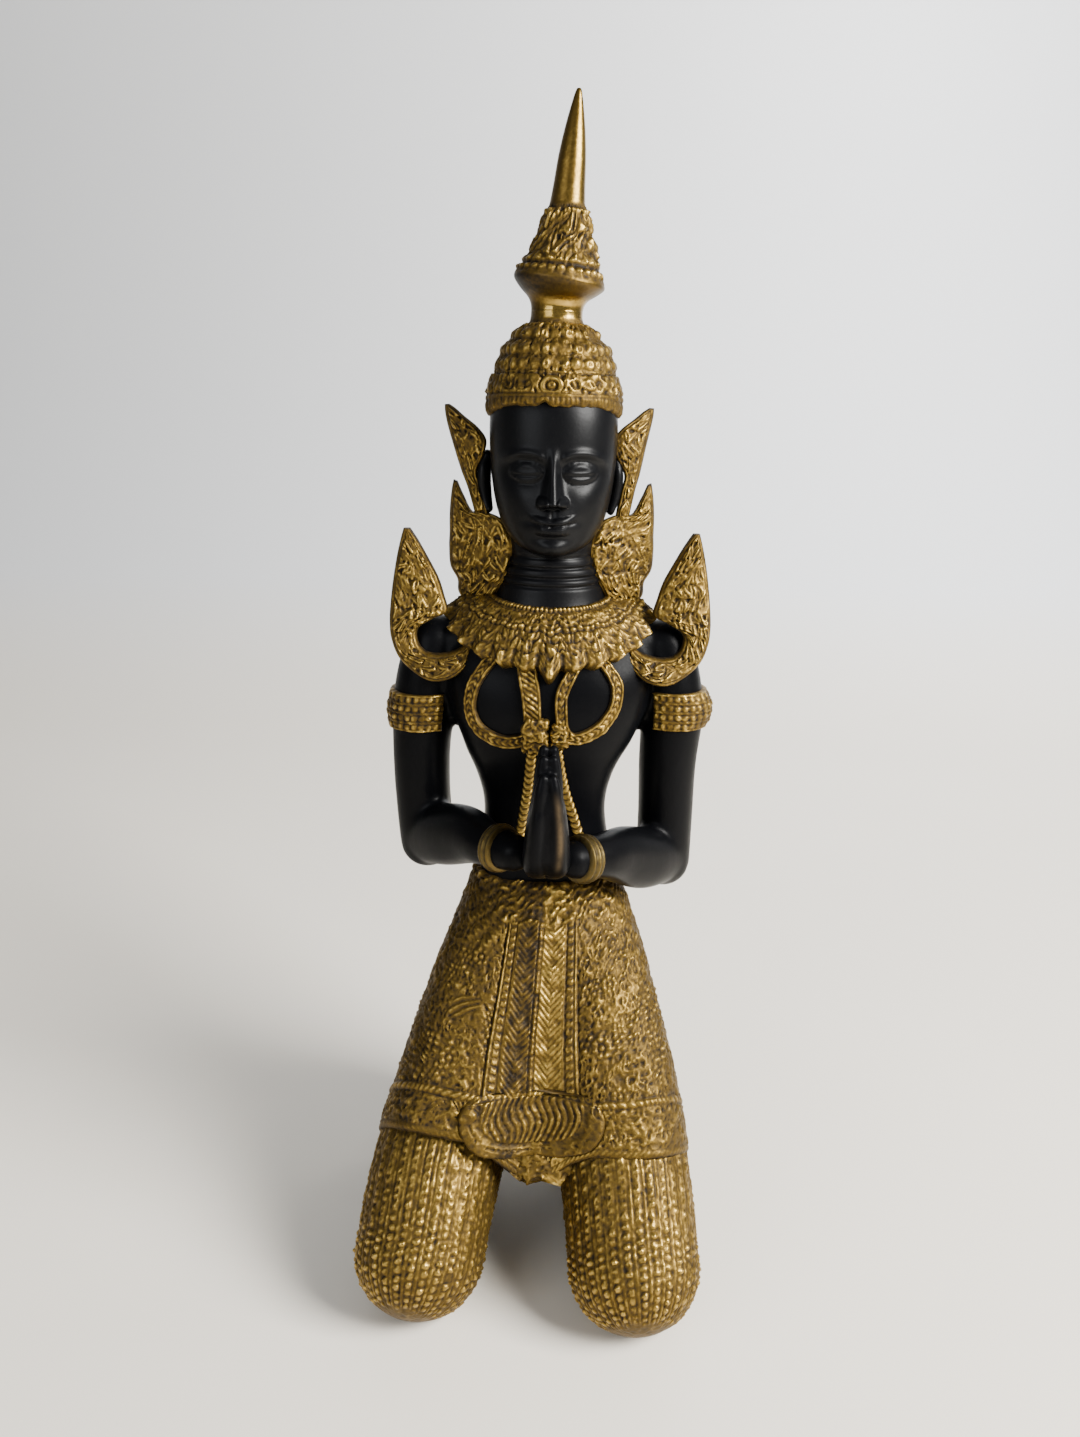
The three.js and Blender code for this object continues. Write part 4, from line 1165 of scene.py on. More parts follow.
def armband_shell(side):
    """Level rings round the upper arm with rows of beads, thinner cords between, and a fuller outer side;
    towards the body the band sinks into the arm."""
    upper = upper_arm(side)[::-1]
    lift = ARMBAND["lift"] if side > 0 else 0.0
    z = np.linspace(ARMBAND["low"], ARMBAND["high"], 38) + lift
    x, y, a, b = at_level(upper[:, [2, 0, 1, 3, 4]], z)
    angle = circle(150)[None]
    v = (z - z[0])[:, None]
    tall = v[-1]
    reach = angle * 16.0
    height = np.zeros_like(v * angle)
    gap = (tall - 2 * ARMBAND["edge"]) / (ARMBAND["rows"] - 1)
    for row in range(ARMBAND["rows"]):
        at = ARMBAND["edge"] + row * gap
        height = np.maximum(height, round_row(angle, v, at, 16.4, 3.6, 1.75))
        if row < ARMBAND["rows"] - 1:
            height = np.maximum(height, 0.8 * twist(reach, v - at - gap / 2, 0.9, 2.4))
    height = np.maximum(height, 0.9 * bead(v - 0.7, 0.7))
    height = np.maximum(height, 0.9 * bead(tall - v - 0.7, 0.7))
    fuller = (1.0 + 1.6 * (side > 0)) * ease(side * np.cos(angle) / 0.9) * np.sin(math.pi * v / tall)
    height = aged(height, reach, v, 0.7, 51 + side)
    open_side = ease((side * np.cos(angle) + 0.74) / 0.14)
    sunk = ARMBAND["sunk"]
    out = (ARMBAND["proud"] + height + fuller + sunk) * open_side - sunk
    out[[0, -1]] = -sunk
    x, y, z, a, b = (column[:, None] for column in (x, y, z, a, b))
    ring = (x + (a + out) * np.cos(angle), y + (b + out) * np.sin(angle), z)
    grid = np.stack(np.broadcast_arrays(*ring), -1)
    return shell(grid, wash=np.clip(tone(height, 3, 1.0, 0.38), 0, 1))


# The bracelet's place as a share of the forearm, radius, half width, and how deep its edges sink
BRACELET = {"at": 0.86, "ring": 10.2, "half": 3.7, "sunk": 1.6}


def bracelet_shell(side):
    """A smooth ring round the wrist whose section has three soft ridges."""
    path = finely(forearm(side), 24)[:, :3]
    pick = int((BRACELET["at"] + 0.05 * (side > 0)) * (len(path) - 1))
    way = unit(path[pick] - path[pick - 8])
    across = unit(np.cross(way, (0.0, 0.0, 1.0)))
    deep = np.cross(across, way)
    q = np.linspace(-1, 1, 26)[:, None]
    t = circle(110)[None]
    half = BRACELET["half"] * (1.2 if side > 0 else 1.0)
    body = np.sqrt(np.clip(1 - q ** 4, 0, 1))
    ridges = 0.45 * np.cos(2.5 * math.pi * q) * body
    radius = BRACELET["ring"] - BRACELET["sunk"] + (2.8 + ridges) * body
    centre = path[pick] + way * (q * half)[..., None]
    c, s = (radius * np.cos(t))[..., None], (radius * np.sin(t))[..., None]
    grid = centre + across * c + deep * s
    return shell(grid, wash=np.clip(0.42 + 0.5 * ridges + 0 * t, 0, 1))


def hem_lower(turn):
    """How much lower the hem hangs by the part turn from the front."""
    return HEM_DROP * (turn > 0) * np.sin(math.pi * np.clip((2 * np.abs(turn) - 0.12) / 0.6, 0, 1))


def on_skirt(turn, fall):
    """The skirt from the waist ring to the hem: straight down each part turn from the front, and out by
    sin(pi fall)^0.8 over the lap, hips and seat."""
    half = 2 * np.abs(turn)
    side = np.where(turn < 0, -1.0, 1.0)
    angle = half * math.pi
    z0, wide, deep, y0 = WAIST
    mirrored = [(-HEM[1][0], *HEM[1][1:]), *HEM, (-HEM[-2][0], *HEM[-2][1:])]
    hem = spline(mirrored, half * (len(HEM) - 1) + 1)
    x = blend(wide * np.sin(angle), hem[..., 0], fall)
    y = blend(y0 - deep * np.cos(angle), hem[..., 1] - 0.9 * hem_lower(turn), fall)
    z = blend(z0, hem[..., 2] - hem_lower(turn), fall)
    swell = np.sin(math.pi * np.clip(fall, 0, 1)) ** 0.8
    rear = ease((half - SWELL["from"]) / SWELL["over"])
    y = y + swell * blend(-SWELL["lap"], SWELL["seat"], rear)
    x = x + swell * np.sin(angle) * blend(SWELL["hip"], SWELL["seat_side"], rear)
    return np.stack([middle_x(z) + side * x, y, z], -1)


# Edges of the middle panel by height: height, left edge, right edge, both sideways
PANEL = [(195, -12.4, 20.6), (180, -13.2, 20.8), (150, -17.6, 21), (125, -22, 21.5), (100, -25, 23),
         (82, -27.4, 24.6), (60, -29, 26)]

# The panel's columns by share across it: two of square beads, two of slanted bars, a line of beads between
PANEL_BEADS = ((0.02, 0.16), (0.83, 0.98))
PANEL_BARS = ((0.16, 0.45), (0.515, 0.83))
PANEL_LINE = 0.482
PANEL_FOLD = 2.8  # the panel stands this much further out at its middle line


def panel_relief(p, down, wide):
    """The panel's columns by share p across it: square beads between thin rolls, bars that slant from each
    column's middle, and a bead line, on a fold that falls evenly to both sides."""
    x = p * wide
    height = 0.35 * np.ones_like(x)
    for low, high in PANEL_BEADS:
        middle = (low + high) / 2 * wide
        size = (high - low) / 2 * wide
        square = np.maximum(np.abs(near(down, 4.0)) / 1.55, np.abs(x - middle) / (0.62 * size))
        height = np.maximum(height, 1.4 * ease((1 - square) / 0.35))
        height = np.maximum(height, 1.1 * bead(np.abs(x - middle) - size, 0.7))
    for low, high in PANEL_BARS:
        middle = (low + high) / 2 * wide
        inside = ease(((high - low) / 2 * wide - np.abs(x - middle)) / 0.6)
        stroke = np.abs(np.sin(math.pi * (down + 1.1 * np.abs(x - middle)) / 3.3)) ** 0.8
        height = np.maximum(height, (0.5 + 1.1 * stroke) * inside)
    middle = PANEL_LINE * wide
    height = np.maximum(height, 1.5 * bead(np.hypot(near(down, 2.9), x - middle), 1.4))
    return height + PANEL_FOLD * np.clip(1 - np.abs(x - middle) / (0.36 * wide), 0, 1)


# A big leaf cast into the skirt: sideways, height, length, width, lean
SKIRT_LEAF = (-34.5, 142.0, 19.0, 9.0, 0.42)

# Flowers cast into the skirt's front: sideways, height, radius
SKIRT_FLOWERS = ((33, 127, 5.6), (37, 152, 4.6), (-41, 121, 5.4), (-27, 162, 4.6), (42, 108, 4.8),
                 (-33, 104, 4.6))
FORESHORTEN = 1.12  # the front of the skirt slopes, so a height on it stands for this much length


def rosette(height, grid, x, z, radius):
    """A flower laid over the relief: a boss, and a ring cut into petals by the cosine of the angle."""
    dx, dz = grid[..., 0] - x, (grid[..., 2] - z) * FORESHORTEN
    r = np.hypot(dx, dz)
    petals = 0.75 + 0.25 * np.cos(7 * np.arctan2(dz, dx))
    ring = 1.7 * petals * bead(r - 0.66 * radius, 0.3 * radius)
    flower = np.maximum(ring, 1.6 * bead(r, 0.3 * radius))
    return blend(height, flower, ease((radius - r) / 0.8) * (grid[..., 1] < 0))


def stamped(height, grid, x, z, long, wide, lean):
    """A big leaf laid over the relief: a few parallel veins that fade out to its edge."""
    dx, dz = grid[..., 0] - x, (grid[..., 2] - z) * FORESHORTEN
    a = (dx * math.cos(lean) + dz * math.sin(lean)) / (long / 2)
    b = (dz * math.cos(lean) - dx * math.sin(lean)) / (wide / 2)
    b = b + 0.35 * a ** 2
    inside = ease((1.1 - np.hypot(a, b)) / 0.35) * (grid[..., 1] < 0)
    veins = 0.3 + 1.4 * np.abs(np.sin(math.pi * (1.7 * b * (1 + 0.25 * a) + 0.3)))
    return blend(height, veins, inside)


# The apron: heights, half widths at its widest and at its top, share down it where it is widest, thickness,
# and how far its middle stands aside
APRON = {"top": 106.5, "bottom": 76.0, "half": 35.0, "narrow": 28.0, "widest": 0.30, "thick": 1.5,
         "aside": -2.6}


def apron_half(k):
    """The apron's half width at a share k down it: a quarter of an ellipse below the widest place, and
    drawn in by a square above it."""
    widest = APRON["widest"]
    low = np.clip((k - widest) / (1 - widest), 0, 1)
    high = np.clip((widest - k) / widest, 0, 1)
    return APRON["half"] * np.sqrt(1 - low ** 2) - (APRON["half"] - APRON["narrow"]) * high ** 2


BRAID_UP = 20.5  # how far the braid runs above the hem
QUIET_FROM = 0.33  # part turn from the front at which the plainer pattern of the back starts


def field_relief(u, down, pitch):
    """The skirt's ground by length round it and down it: scrolls and tangled strands where slow hills are
    high, fine grains between, and strands that fan out from the waist over its top."""
    a, b = warped(u, down, 1.3, 6.0)
    carved = np.maximum(1.2 * scrolls(a, b, pitch, 1.3, 0.6) ** 1.5, 1.3 * worms(a, b, 3.0, 2) ** 1.5)
    grains = 1.5 * np.clip(pebbles(a, b, 3.1, 0.95, 0.1, 7), 0, None) ** 2
    lobes = ease((lumps(u, down, 13.0, 4) - 0.30) / 0.2)
    ground = np.maximum(blend(grains, carved, lobes), 0.7 * grains)
    polar = np.arctan2(u, down + 14.0)
    reach = np.hypot(u, down + 14.0)
    strand = np.abs(np.sin(polar * 25.0)) ** 0.7
    fan = 1.7 * strand * (0.5 + 0.5 * np.abs(np.sin(math.pi * (reach + 1.5 * np.sin(polar * 25)) / 3.4)))
    fan = np.maximum(fan, 1.2 * worms(a, b, 2.7, 6))
    return aged(blend(fan, ground, ease((down - 26 - 10 * np.sin(u / 7)) / 8)), u, down, 0.7, 61)


def border_relief(u, up):
    """The skirt's border under the braid: scrolls, tangled strands and pebbles."""
    a, b = warped(u, up, 1.1, 5.0)
    border = np.maximum(1.4 * scrolls(a, b, 7.6, 1.2, 0.5), 1.6 * worms(a, b, 3.0, 9))
    return aged(np.maximum(border, pebbles(a, b, 2.8, 0.95, 0.25, 10)), u, up, 0.8, 63)


def sash_relief(u, down):
    """The knotted sash at the waist: slanted rolls and tangled strands."""
    a, b = warped(u, down - 3.0, 1.5, 5.0)
    rolls = 2.6 * bead(near(b, 4.8), 2.5) * (0.4 + 0.6 * np.abs(np.sin(math.pi * (a + 0.9 * b) / 5.0)))
    return aged(np.maximum(rolls, 1.7 * worms(a, b, 3.2, 12)), u, down, 0.9, 67)


def skirt_relief(grid, turn, sizes):
    """Heights on the skirt, by length u round it from the front and length down it: the ground with its
    leaf and flowers, a braid, a border and a cord at the hem, the panel in front with a groove at each
    side, level ground under the apron, the sash, and a plainer back."""
    middle = grid.shape[1] // 2
    around = np.linalg.norm(np.diff(grid, axis=1), axis=-1)
    u = np.concatenate([np.zeros((len(grid), 1)), np.cumsum(around, 1)], 1)
    u = u - u[:, middle:middle + 1]
    steps = np.linalg.norm(np.diff(grid, axis=0), axis=-1)
    down = np.concatenate([np.zeros((1, grid.shape[1])), np.cumsum(steps, 0)])
    up = down[-1] - down
    height = stamped(field_relief(u, down, sizes.scroll_pitch / MM), grid, *SKIRT_LEAF)
    for flower in SKIRT_FLOWERS:
        height = rosette(height, grid, *flower)
    mirrored = np.abs(u)
    from_braid = up - BRAID_UP - 0.7 * hem_lower(turn)
    slant = mirrored + 1.6 * np.sin(mirrored / 5) + 0.7 * from_braid
    braid = 2.2 * bead(from_braid, 2.0) * (0.55 + 0.45 * np.abs(np.sin(math.pi * slant / 3.4)))
    height = np.where(np.abs(from_braid) < 2.2, np.maximum(braid, 0.3), height)
    height = np.where(from_braid < -2.4, border_relief(u, up), height)
    cord = 1.5 * bead(up - 2.2, 1.9) * (0.6 + 0.4 * np.abs(np.sin(math.pi * (mirrored - 0.8 * up) / 2.9)))
    height = np.where(up < 4.0, np.maximum(cord, 0.3), height)
    left, right = at_level(PANEL, grid[..., 2])
    wide = right - left
    p = (grid[..., 0] - left) / wide
    front = np.abs(turn) < 0.25
    panel = aged(panel_relief(p, down, wide), u, down, 0.5, 65) + 0.9
    height = np.where(front & (p > 0) & (p < 1) & (up > 19), panel, height)
    left_gap = 1.3 * line(p * wide, 0.55)
    right_gap = 0.8 * line((p - 1) * wide, 0.9) * ease((down - 34) / 14)
    height = height - np.where(front, (left_gap + right_gap) * ease((up - 12) / 6), 0)
    k = (APRON["top"] - grid[..., 2]) / (APRON["top"] - APRON["bottom"])
    aside = np.abs(grid[..., 0] - middle_x(grid[..., 2]) - APRON["aside"])
    height = height * (1.0 - front * ease((k - 0.10) / 0.08) * ease((apron_half(k) + 0.8 - aside) / 2.0))
    knotted = ease((30.0 - np.abs(u - 3.0)) / 4.0) * ease((20.0 + 2 * np.sin(u / 4) - down) / 1.5)
    height = blend(height, sash_relief(u, down), np.maximum(knotted, ease((5.0 - down) / 1.0)))
    quiet = 0.6 * worms(mirrored, down, 4.4, 70) + 0.8 * lumps(mirrored, down, 3.2, 71)
    off_braid = ease((np.abs(from_braid) - 2.2) / 1.0) * ease((up - 3.6) / 1.0)
    return 0.8 * blend(height, quiet, ease((np.abs(turn) - QUIET_FROM) / 0.1) * off_braid)


# The closing under the hem: share of the way in, rise
UNDER_HEM = ((0.03, -0.4), (0.10, 3.0), (0.35, 16.0), (0.75, 30.0))


def skirt_shell(sizes):
    """Rings of the skirt from waist to hem, pushed out by the relief, then turned in under the hem. The
    columns lie closer together in front, and the panel's front carries painted light: a painted highlight on
    its strip on the viewer's right and painted shade on the strip to its left."""
    columns, rows = 470, 172
    base = np.linspace(-0.5, 0.5, columns, endpoint=False)
    turn = base - 0.40 * np.sin(math.tau * base) / math.tau
    fall = np.linspace(0, 1, rows)[:, None]
    grid = on_skirt(turn[None] + 0 * fall, fall + 0 * turn[None])
    height = skirt_relief(grid, turn[None], sizes)
    normal = normals(grid)
    face = grid + normal * (height - 1.3)[..., None]
    under = [grid[-1] + normal[-1] * -1.6 + [0, 0, -0.8]]
    centre = grid[-1].mean(0)
    for share, rise in UNDER_HEM:
        under.append(blend(grid[-1], centre, share) + [0, 0, rise])
    face = np.concatenate([face, np.stack(under)])
    left, right = at_level(PANEL, grid[..., 2])
    p = (grid[..., 0] - left) / (right - left)
    # Painted highlight on the panel's right strip and painted shade on its left strip, on the front only.
    painted_light_and_shade = 0.22 * (stretch(p, 0.5, 0.84, 0.03) - stretch(p, 0.18, 0.5, 0.03))
    wash = np.clip(tone(height, 3, 0.56, 0.34) + painted_light_and_shade * (grid[..., 1] < 0), 0, 1)
    wash = np.concatenate([wash, np.full((len(under), columns), 0.2)])
    return shell(face, wash=wash)


FALL_TALL = 118.0  # about how tall the skirt's front is, and how far it is round
TURN_WIDE = 330.0


def skirt_at(x, z):
    """The skirt's front point at each sideways place and height, by stepping turn and fall towards it."""
    turn, fall = x / TURN_WIDE, (WAIST[0] - z) / FALL_TALL
    for _ in range(24):
        at = on_skirt(turn, fall)
        turn = turn + 0.8 * (x - at[..., 0]) / TURN_WIDE
        fall = fall + 0.8 * (at[..., 2] - z) / FALL_TALL
    return at


def apron_shell():
    """A crescent slab over the front of the hem, widest at a share down it and half-round below that;
    wavy grooves run down its middle, and a smooth rim follows the lower edge."""
    k = np.linspace(0.0, 0.9995, 84)[:, None]
    columns = 150
    v = np.concatenate([np.linspace(-1, 1, columns), np.linspace(1, -1, 24)[1:-1]])[None]
    front = (np.arange(v.shape[1]) < columns)[None]
    widest = APRON["widest"]
    low = np.clip((k - widest) / (1 - widest), 0, 1)
    x = v * apron_half(k)
    z = blend(APRON["top"], APRON["bottom"], k) + 0 * v
    grid = skirt_at(x + middle_x(z) + APRON["aside"], z)
    out = unit(np.stack([0 * x, -np.ones_like(x), 0.45 + 0 * x], -1))
    rho = np.hypot(x / APRON["half"], low)
    down = k * 36.0
    wave = x + 2.0 * np.sin(down / 4.2 + x / 11.0) * ease(down / 8)
    grooves = 1.05 * np.abs(np.sin(math.pi * wave / 3.1)) ** 0.8
    grooves = grooves * ease((0.72 - rho) / 0.05) * ease((down - 2.6) / 1.5)
    rim = 0.85 * bead(rho - 0.93, 0.07) ** 0.6 + 0.5 * bead(rho - 0.80, 0.035)
    rim = rim * ease((k - 0.12) / 0.2)
    top_row = 1.5 * pebbles(x, down - 1.5, 3.3, 1.0, 0.2)
    height = np.maximum(np.maximum(grooves, rim), top_row * ease((4.6 - down) / 0.8))
    curl = np.hypot((x + 31.5) / 1.3, down - 9.5)
    height = np.maximum(height, 1.9 * bead(curl, 4.2) - 0.6 * bead(curl, 1.6))
    edge = np.sqrt(np.clip(1 - np.abs(v) ** 16, 0, 1)) * np.sqrt(1 - low ** 24)
    edge = edge * ease((k + 0.01) / 0.16)
    height = np.maximum(height, 0.7 * worms(x, down, 3.0, 73) * ease((rho - 0.72) / 0.1))
    height = aged(height, x, down, 0.6, 71)
    lift = np.where(front, (APRON["thick"] + height) * edge, -3.5)
    # Painted shade: a darker strip down the apron a little left of its middle.
    dark = 0.3 * line(x + 11, 7) * ease((k - 0.05) / 0.2)
    wash = np.where(front, np.clip(tone(height, 3, 0.7, 0.34) - dark, 0, 1), 0.1)
    return shell(grid + out * lift[..., None], wash=wash)


# The half width, top and height of the cloth between the knees
DRAPE = {"half": 26.0, "top": 85.0, "tall": 19.0}


def drape_shell():
    """The cloth that sags between the knees under the apron: a curved sheet whose half width falls by a
    power 1.7 of the share k down it, with folds that are sines of x."""
    k = np.linspace(0, 1, 44)[:, None]
    columns = 66
    v = np.concatenate([np.linspace(-1, 1, columns), np.linspace(1, -1, 16)[1:-1]])[None]
    front = (np.arange(v.shape[1]) < columns)[None]
    x = v * DRAPE["half"] * (1 - 0.62 * k ** 1.7) + 1.0 + 3.5 * k
    z = DRAPE["top"] - DRAPE["tall"] * k + 1.5 * np.sin(v * 4 + 0.6) * k
    folds = 0.5 * np.sin(x / 2.8 + 2.6 * k) + 0.35 * np.sin(x / 1.2 - 4 * k)
    folds = folds + 1.1 * worms(x, 24 * k + 0 * x, 3.4, 15) - 0.5
    y = -80.5 - 8.0 * k + 3 * v ** 2 * (1 - k) + np.where(front, -1.4 - folds, 2.0)
    grid = np.stack(np.broadcast_arrays(x, y, z), -1)
    # Painted highlight along the drape's lower edge on the viewer's right.
    bright = 0.75 * ease((k - 0.86) / 0.1) * ease(v / 0.35)
    wash = np.where(front, np.clip(0.28 + 0.2 * folds + bright, 0, 1), 0.15)
    return shell(grid, wash=wash)


def knee_back(rows, side, share):
    """A leg's rows, with the knee on the viewer's left set back."""
    rows = on_side(rows, side)
    if side < 0:
        rows[:, 1] += KNEE_BACK * np.asarray(share)
    return rows


# The beaded cloth on a thigh: where it starts along the limb, ring step, rings in the knee's dome, points
# round it, radius, and the turn that puts a row in front
BEADED = {"start": 38.0, "step": 0.78, "cap": 46, "around": 236, "radius": 31.0, "turned": 0.35}
NET_TO = 103.0  # length down the thigh at which rows of small rings give way to beads


def thigh_shell(side, sizes):
    """Round rings square to the thigh with a domed knee. Beads in rows on a lattice of bead pitch by row
    pitch, thin ridges between the rows, small rings in place of the beads higher up, and all fading out
    before the knee."""
    rows = knee_back(THIGH, side, np.linspace(0, 1, len(THIGH)))
    fine = finely(rows, 40)
    run = run_along(fine[:, :3])
    at = np.arange(BEADED["start"], run[-1], BEADED["step"])
    fine = np.stack([np.interp(at, run, column) for column in fine.T], 1)
    grid = limb_rings(fine, BEADED["around"], 1, (0, 0, 1), (0, BEADED["cap"]))
    t = circle(BEADED["around"])[None]
    radius = BEADED["radius"]
    cap = dome_angles(BEADED["cap"])
    middles = run_along(grid.mean(1))[:len(at)]
    v = np.concatenate([middles, at[-1] - BEADED["start"] + radius * cap])[:, None]
    count = round(math.tau * radius / (sizes.row_pitch / MM))
    turn = t + BEADED["turned"]
    u = near(turn, math.tau / count) * radius
    between = near(turn + math.pi / count, math.tau / count) * radius
    pitch = sizes.bead_pitch / MM
    column = np.round(turn / (math.tau / count))
    slide = pitch * 0.5 * np.mod(column, 2)
    w = near(v + slide, pitch)
    number = np.round((v + slide) / pitch)
    knob = 1.4 * (0.75 + 0.5 * spread(column, number, 9)) * bead(np.hypot(u / 1.1, w), 1.65)
    hole = 0.6 * bead(np.hypot(u, w), 0.8) * (spread(column, number, 5) > 0.7)
    ridge = 0.9 * bead(between, 0.9) * (0.75 + 0.25 * np.cos(math.tau * v / pitch))
    beads = np.maximum(knob - hole, ridge)
    ring = np.hypot(u, near(v + 0.85 * slide, 0.85 * pitch) * 1.15)
    chain = 1.15 * bead(u, 2.0) - 1.0 * bead(ring, 0.95)
    net = np.maximum(chain, 0.9 * bead(between, 1.0) * (0.5 + 0.7 * lumps(t * radius, v, 2.4, 86)))
    high = ease((NET_TO + 8.0 * np.sin(3 * t) - v) / 20.0)
    fade = ease((v[-1, 0] - 12 + 3.0 * np.cos(2 * t) - v) / 9.0)
    height = aged(blend(beads, net, high), t * radius, v, 0.7, 81 + side)
    height = blend(0.4 * lumps(t * radius, v, 3.0, 83), height, fade)
    shrink = np.concatenate([np.ones(len(at)), np.cos(cap)])[:, None]
    height = height * np.clip(shrink * 1.6, 0, 1)
    wash = blend(0.28 + 0.2 * lumps(t * radius, v, 4.0, 85), tone(height, 3, 0.62, 0.46), fade)
    out = unit(grid - grid.mean(1, keepdims=True))
    return shell(grid + out * height[..., None], wash=np.clip(wash, 0, 1))


# Toes: sideways from the foot's middle, how far back, half width
TOES = [(-8.6, 3.5, 3.0), (-4.2, 1.8, 3.1), (0.4, 0.8, 3.3), (4.8, 0.4, 3.4), (8.8, -1.0, 4.2)]
TOES_AT = 36.4


def foot_shells(side):
    """A shin that lies on the ground, a foot that stands on its ball, and five bent toes."""
    shin = knee_back(SHIN, side, 1 - np.linspace(0, 1, len(SHIN)))
    shells = [shell(limb_rings(shin, 48, 10, (0, 0, 1), (6, 6))),
              shell(limb_rings(on_side(FOOT, side), 44, 8, (0, 1, 0), (5, 3), 2.1))]
    for across, back, size in TOES:
        x = TOES_AT - across * 0.98
        rows = [(x, 55, 8.5, size, size * 1.3), (x, 48 + back, 6.4, size, size * 1.15),
                (x + 0.1, 41 + back, 4.6, size, size * 0.9),
                (x + 0.1, 36.5 + back, 4.2, size * 0.9, size * 0.8)]
        shells.append(shell(limb_rings(on_side(rows, side), 28, 8, (0, 0, 1), (3, 4))))
    return shells


def grounded(shells):
    """The same skins with nothing under the floor."""
    kept = []
    for points, quads, tris, fields in shells:
        points = points.copy()
        points[:, 2] = np.maximum(points[:, 2], 0.0)
        kept.append((points, quads, tris, fields))
    return kept


class DevaLook(bpy.types.PropertyGroup):
    """Colours of the finish."""

    # The rubbed gold and the dark colour also carry the painted highlights and painted shade that the tone
    # field adds on some pieces.
    gold_bright: bpy.props.FloatVectorProperty(
        name="Rubbed gold", description="Colour of the ridges", subtype="COLOR", size=3,
        min=0, max=1, default=(0.378, 0.247, 0.058))
    gold_mid: bpy.props.FloatVectorProperty(
        name="Gold", description="Colour of the plain gilding", subtype="COLOR", size=3,
        min=0, max=1, default=(0.111, 0.068, 0.0152))
    gold_dark: bpy.props.FloatVectorProperty(
        name="Wash", description="Colour of the dark wash in the hollows", subtype="COLOR", size=3,
        min=0, max=1, default=(0.013, 0.0085, 0.0042))
    gold_dull: bpy.props.FloatVectorProperty(
        name="Dull gold", description="Colour of the bracelets", subtype="COLOR", size=3,
        min=0, max=1, default=(0.085, 0.062, 0.022))
    black: bpy.props.FloatVectorProperty(
        name="Black", description="Colour of the body's paint", subtype="COLOR", size=3,
        min=0, max=1, default=(0.0019, 0.0020, 0.0025))
    copper: bpy.props.FloatVectorProperty(
        name="Rub", description="Colour where the paint is rubbed through", subtype="COLOR", size=3,
        min=0, max=1, default=(0.080, 0.056, 0.031))


class DevaSizes(bpy.types.PropertyGroup):
    """Sizes of the fine relief."""

    bead_pitch: bpy.props.FloatProperty(
        name="Bead pitch", description="Step of the beads along the thighs", unit="LENGTH",
        min=0.003, max=0.01, default=0.0040)
    row_pitch: bpy.props.FloatProperty(
        name="Row pitch", description="Distance between the rows of beads round the thighs", unit="LENGTH",
        min=0.004, max=0.012, default=0.0064)
    scroll_pitch: bpy.props.FloatProperty(
        name="Scroll pitch", description="Size of the scrolls on the skirt", unit="LENGTH",
        min=0.004, max=0.015, default=0.0066)
    chain_pitch: bpy.props.FloatProperty(
        name="Chain pitch", description="Step of the links of the chest chains", unit="LENGTH",
        min=0.002, max=0.008, default=0.0036)
    skin_voxel: bpy.props.FloatProperty(
        name="Body mesh size", description="Voxel size of the body's and the legs' mesh", unit="LENGTH",
        min=0.001, max=0.004, default=0.0019)
    hand_voxel: bpy.props.FloatProperty(
        name="Hand mesh size", description="Voxel size of the hands' mesh", unit="LENGTH",
        min=0.0004, max=0.002, default=0.00068)


class DEVA_OT_body(bpy.types.Operator):
    """Trunk, shoulders and arms"""

    bl_idname = "deva.body"
    bl_label = "Body"
    bl_options = {"REGISTER", "UNDO"}

    def execute(self, context):
        sizes = context.scene.deva_sizes
        fused("body", body_shells(), sizes.skin_voxel / MM, 6, finish(context, "black_shaded_copy"))
        return {"FINISHED"}


class DEVA_OT_head(bpy.types.Operator):
    """Neck, head and ears"""

    bl_idname = "deva.head"
    bl_label = "Head"
    bl_options = {"REGISTER", "UNDO"}

    def execute(self, context):
        black = finish(context, "black_satin")
        make_piece("neck", [neck_shell()], black)
        make_piece("head", [head_shell()], black)
        make_piece("ears", [ear_shell(-1), ear_shell(1)], black)
        return {"FINISHED"}


class DEVA_OT_hands(bpy.types.Operator):
    """Both hands, palm to palm"""

    bl_idname = "deva.hands"
    bl_label = "Hands"
    bl_options = {"REGISTER", "UNDO"}

    def execute(self, context):
        sizes = context.scene.deva_sizes
        core = shell(level_rings(PALM_CORE, 48, 6, PALM_POWER, lambda z: HAND_X + 0 * z))
        shells = [*hand_shells(-1), *hand_shells(1), core]
        black = finish(context, "black_shaded_copy")
        fused("hands", shells, sizes.hand_voxel / MM, 4, black, {"rub": rubbed_hands})
        return {"FINISHED"}


class DEVA_OT_crown(bpy.types.Operator):
    """Tiered crown with its spire"""

    bl_idname = "deva.crown"
    bl_label = "Crown"
    bl_options = {"REGISTER", "UNDO"}

    def execute(self, context):
        make_piece("crown", crown_shells(), finish(context, "antique_gold"))
        return {"FINISHED"}


class DEVA_OT_flames(bpy.types.Operator):
    """Flame-shaped ornaments at the ears and shoulders"""

    bl_idname = "deva.flames"
    bl_label = "Ear and shoulder flames"
    bl_options = {"REGISTER", "UNDO"}

    def execute(self, context):
        make_piece("flames", flame_shells(), finish(context, "antique_gold"))
        return {"FINISHED"}


class DEVA_OT_collar(bpy.types.Operator):
    """Leafed collar"""

    bl_idname = "deva.collar"
    bl_label = "Collar"
    bl_options = {"REGISTER", "UNDO"}

    def execute(self, context):
        make_piece("collar", [collar_shell()], finish(context, "antique_gold"))
        return {"FINISHED"}


class DEVA_OT_bands(bpy.types.Operator):
    """Loops, knots and chains on the chest"""

    bl_idname = "deva.bands"
    bl_label = "Chest bands"
    bl_options = {"REGISTER", "UNDO"}

    def execute(self, context):
        sizes = context.scene.deva_sizes
        make_piece("chest_bands", band_shells(sizes), finish(context, "antique_gold"))
        return {"FINISHED"}


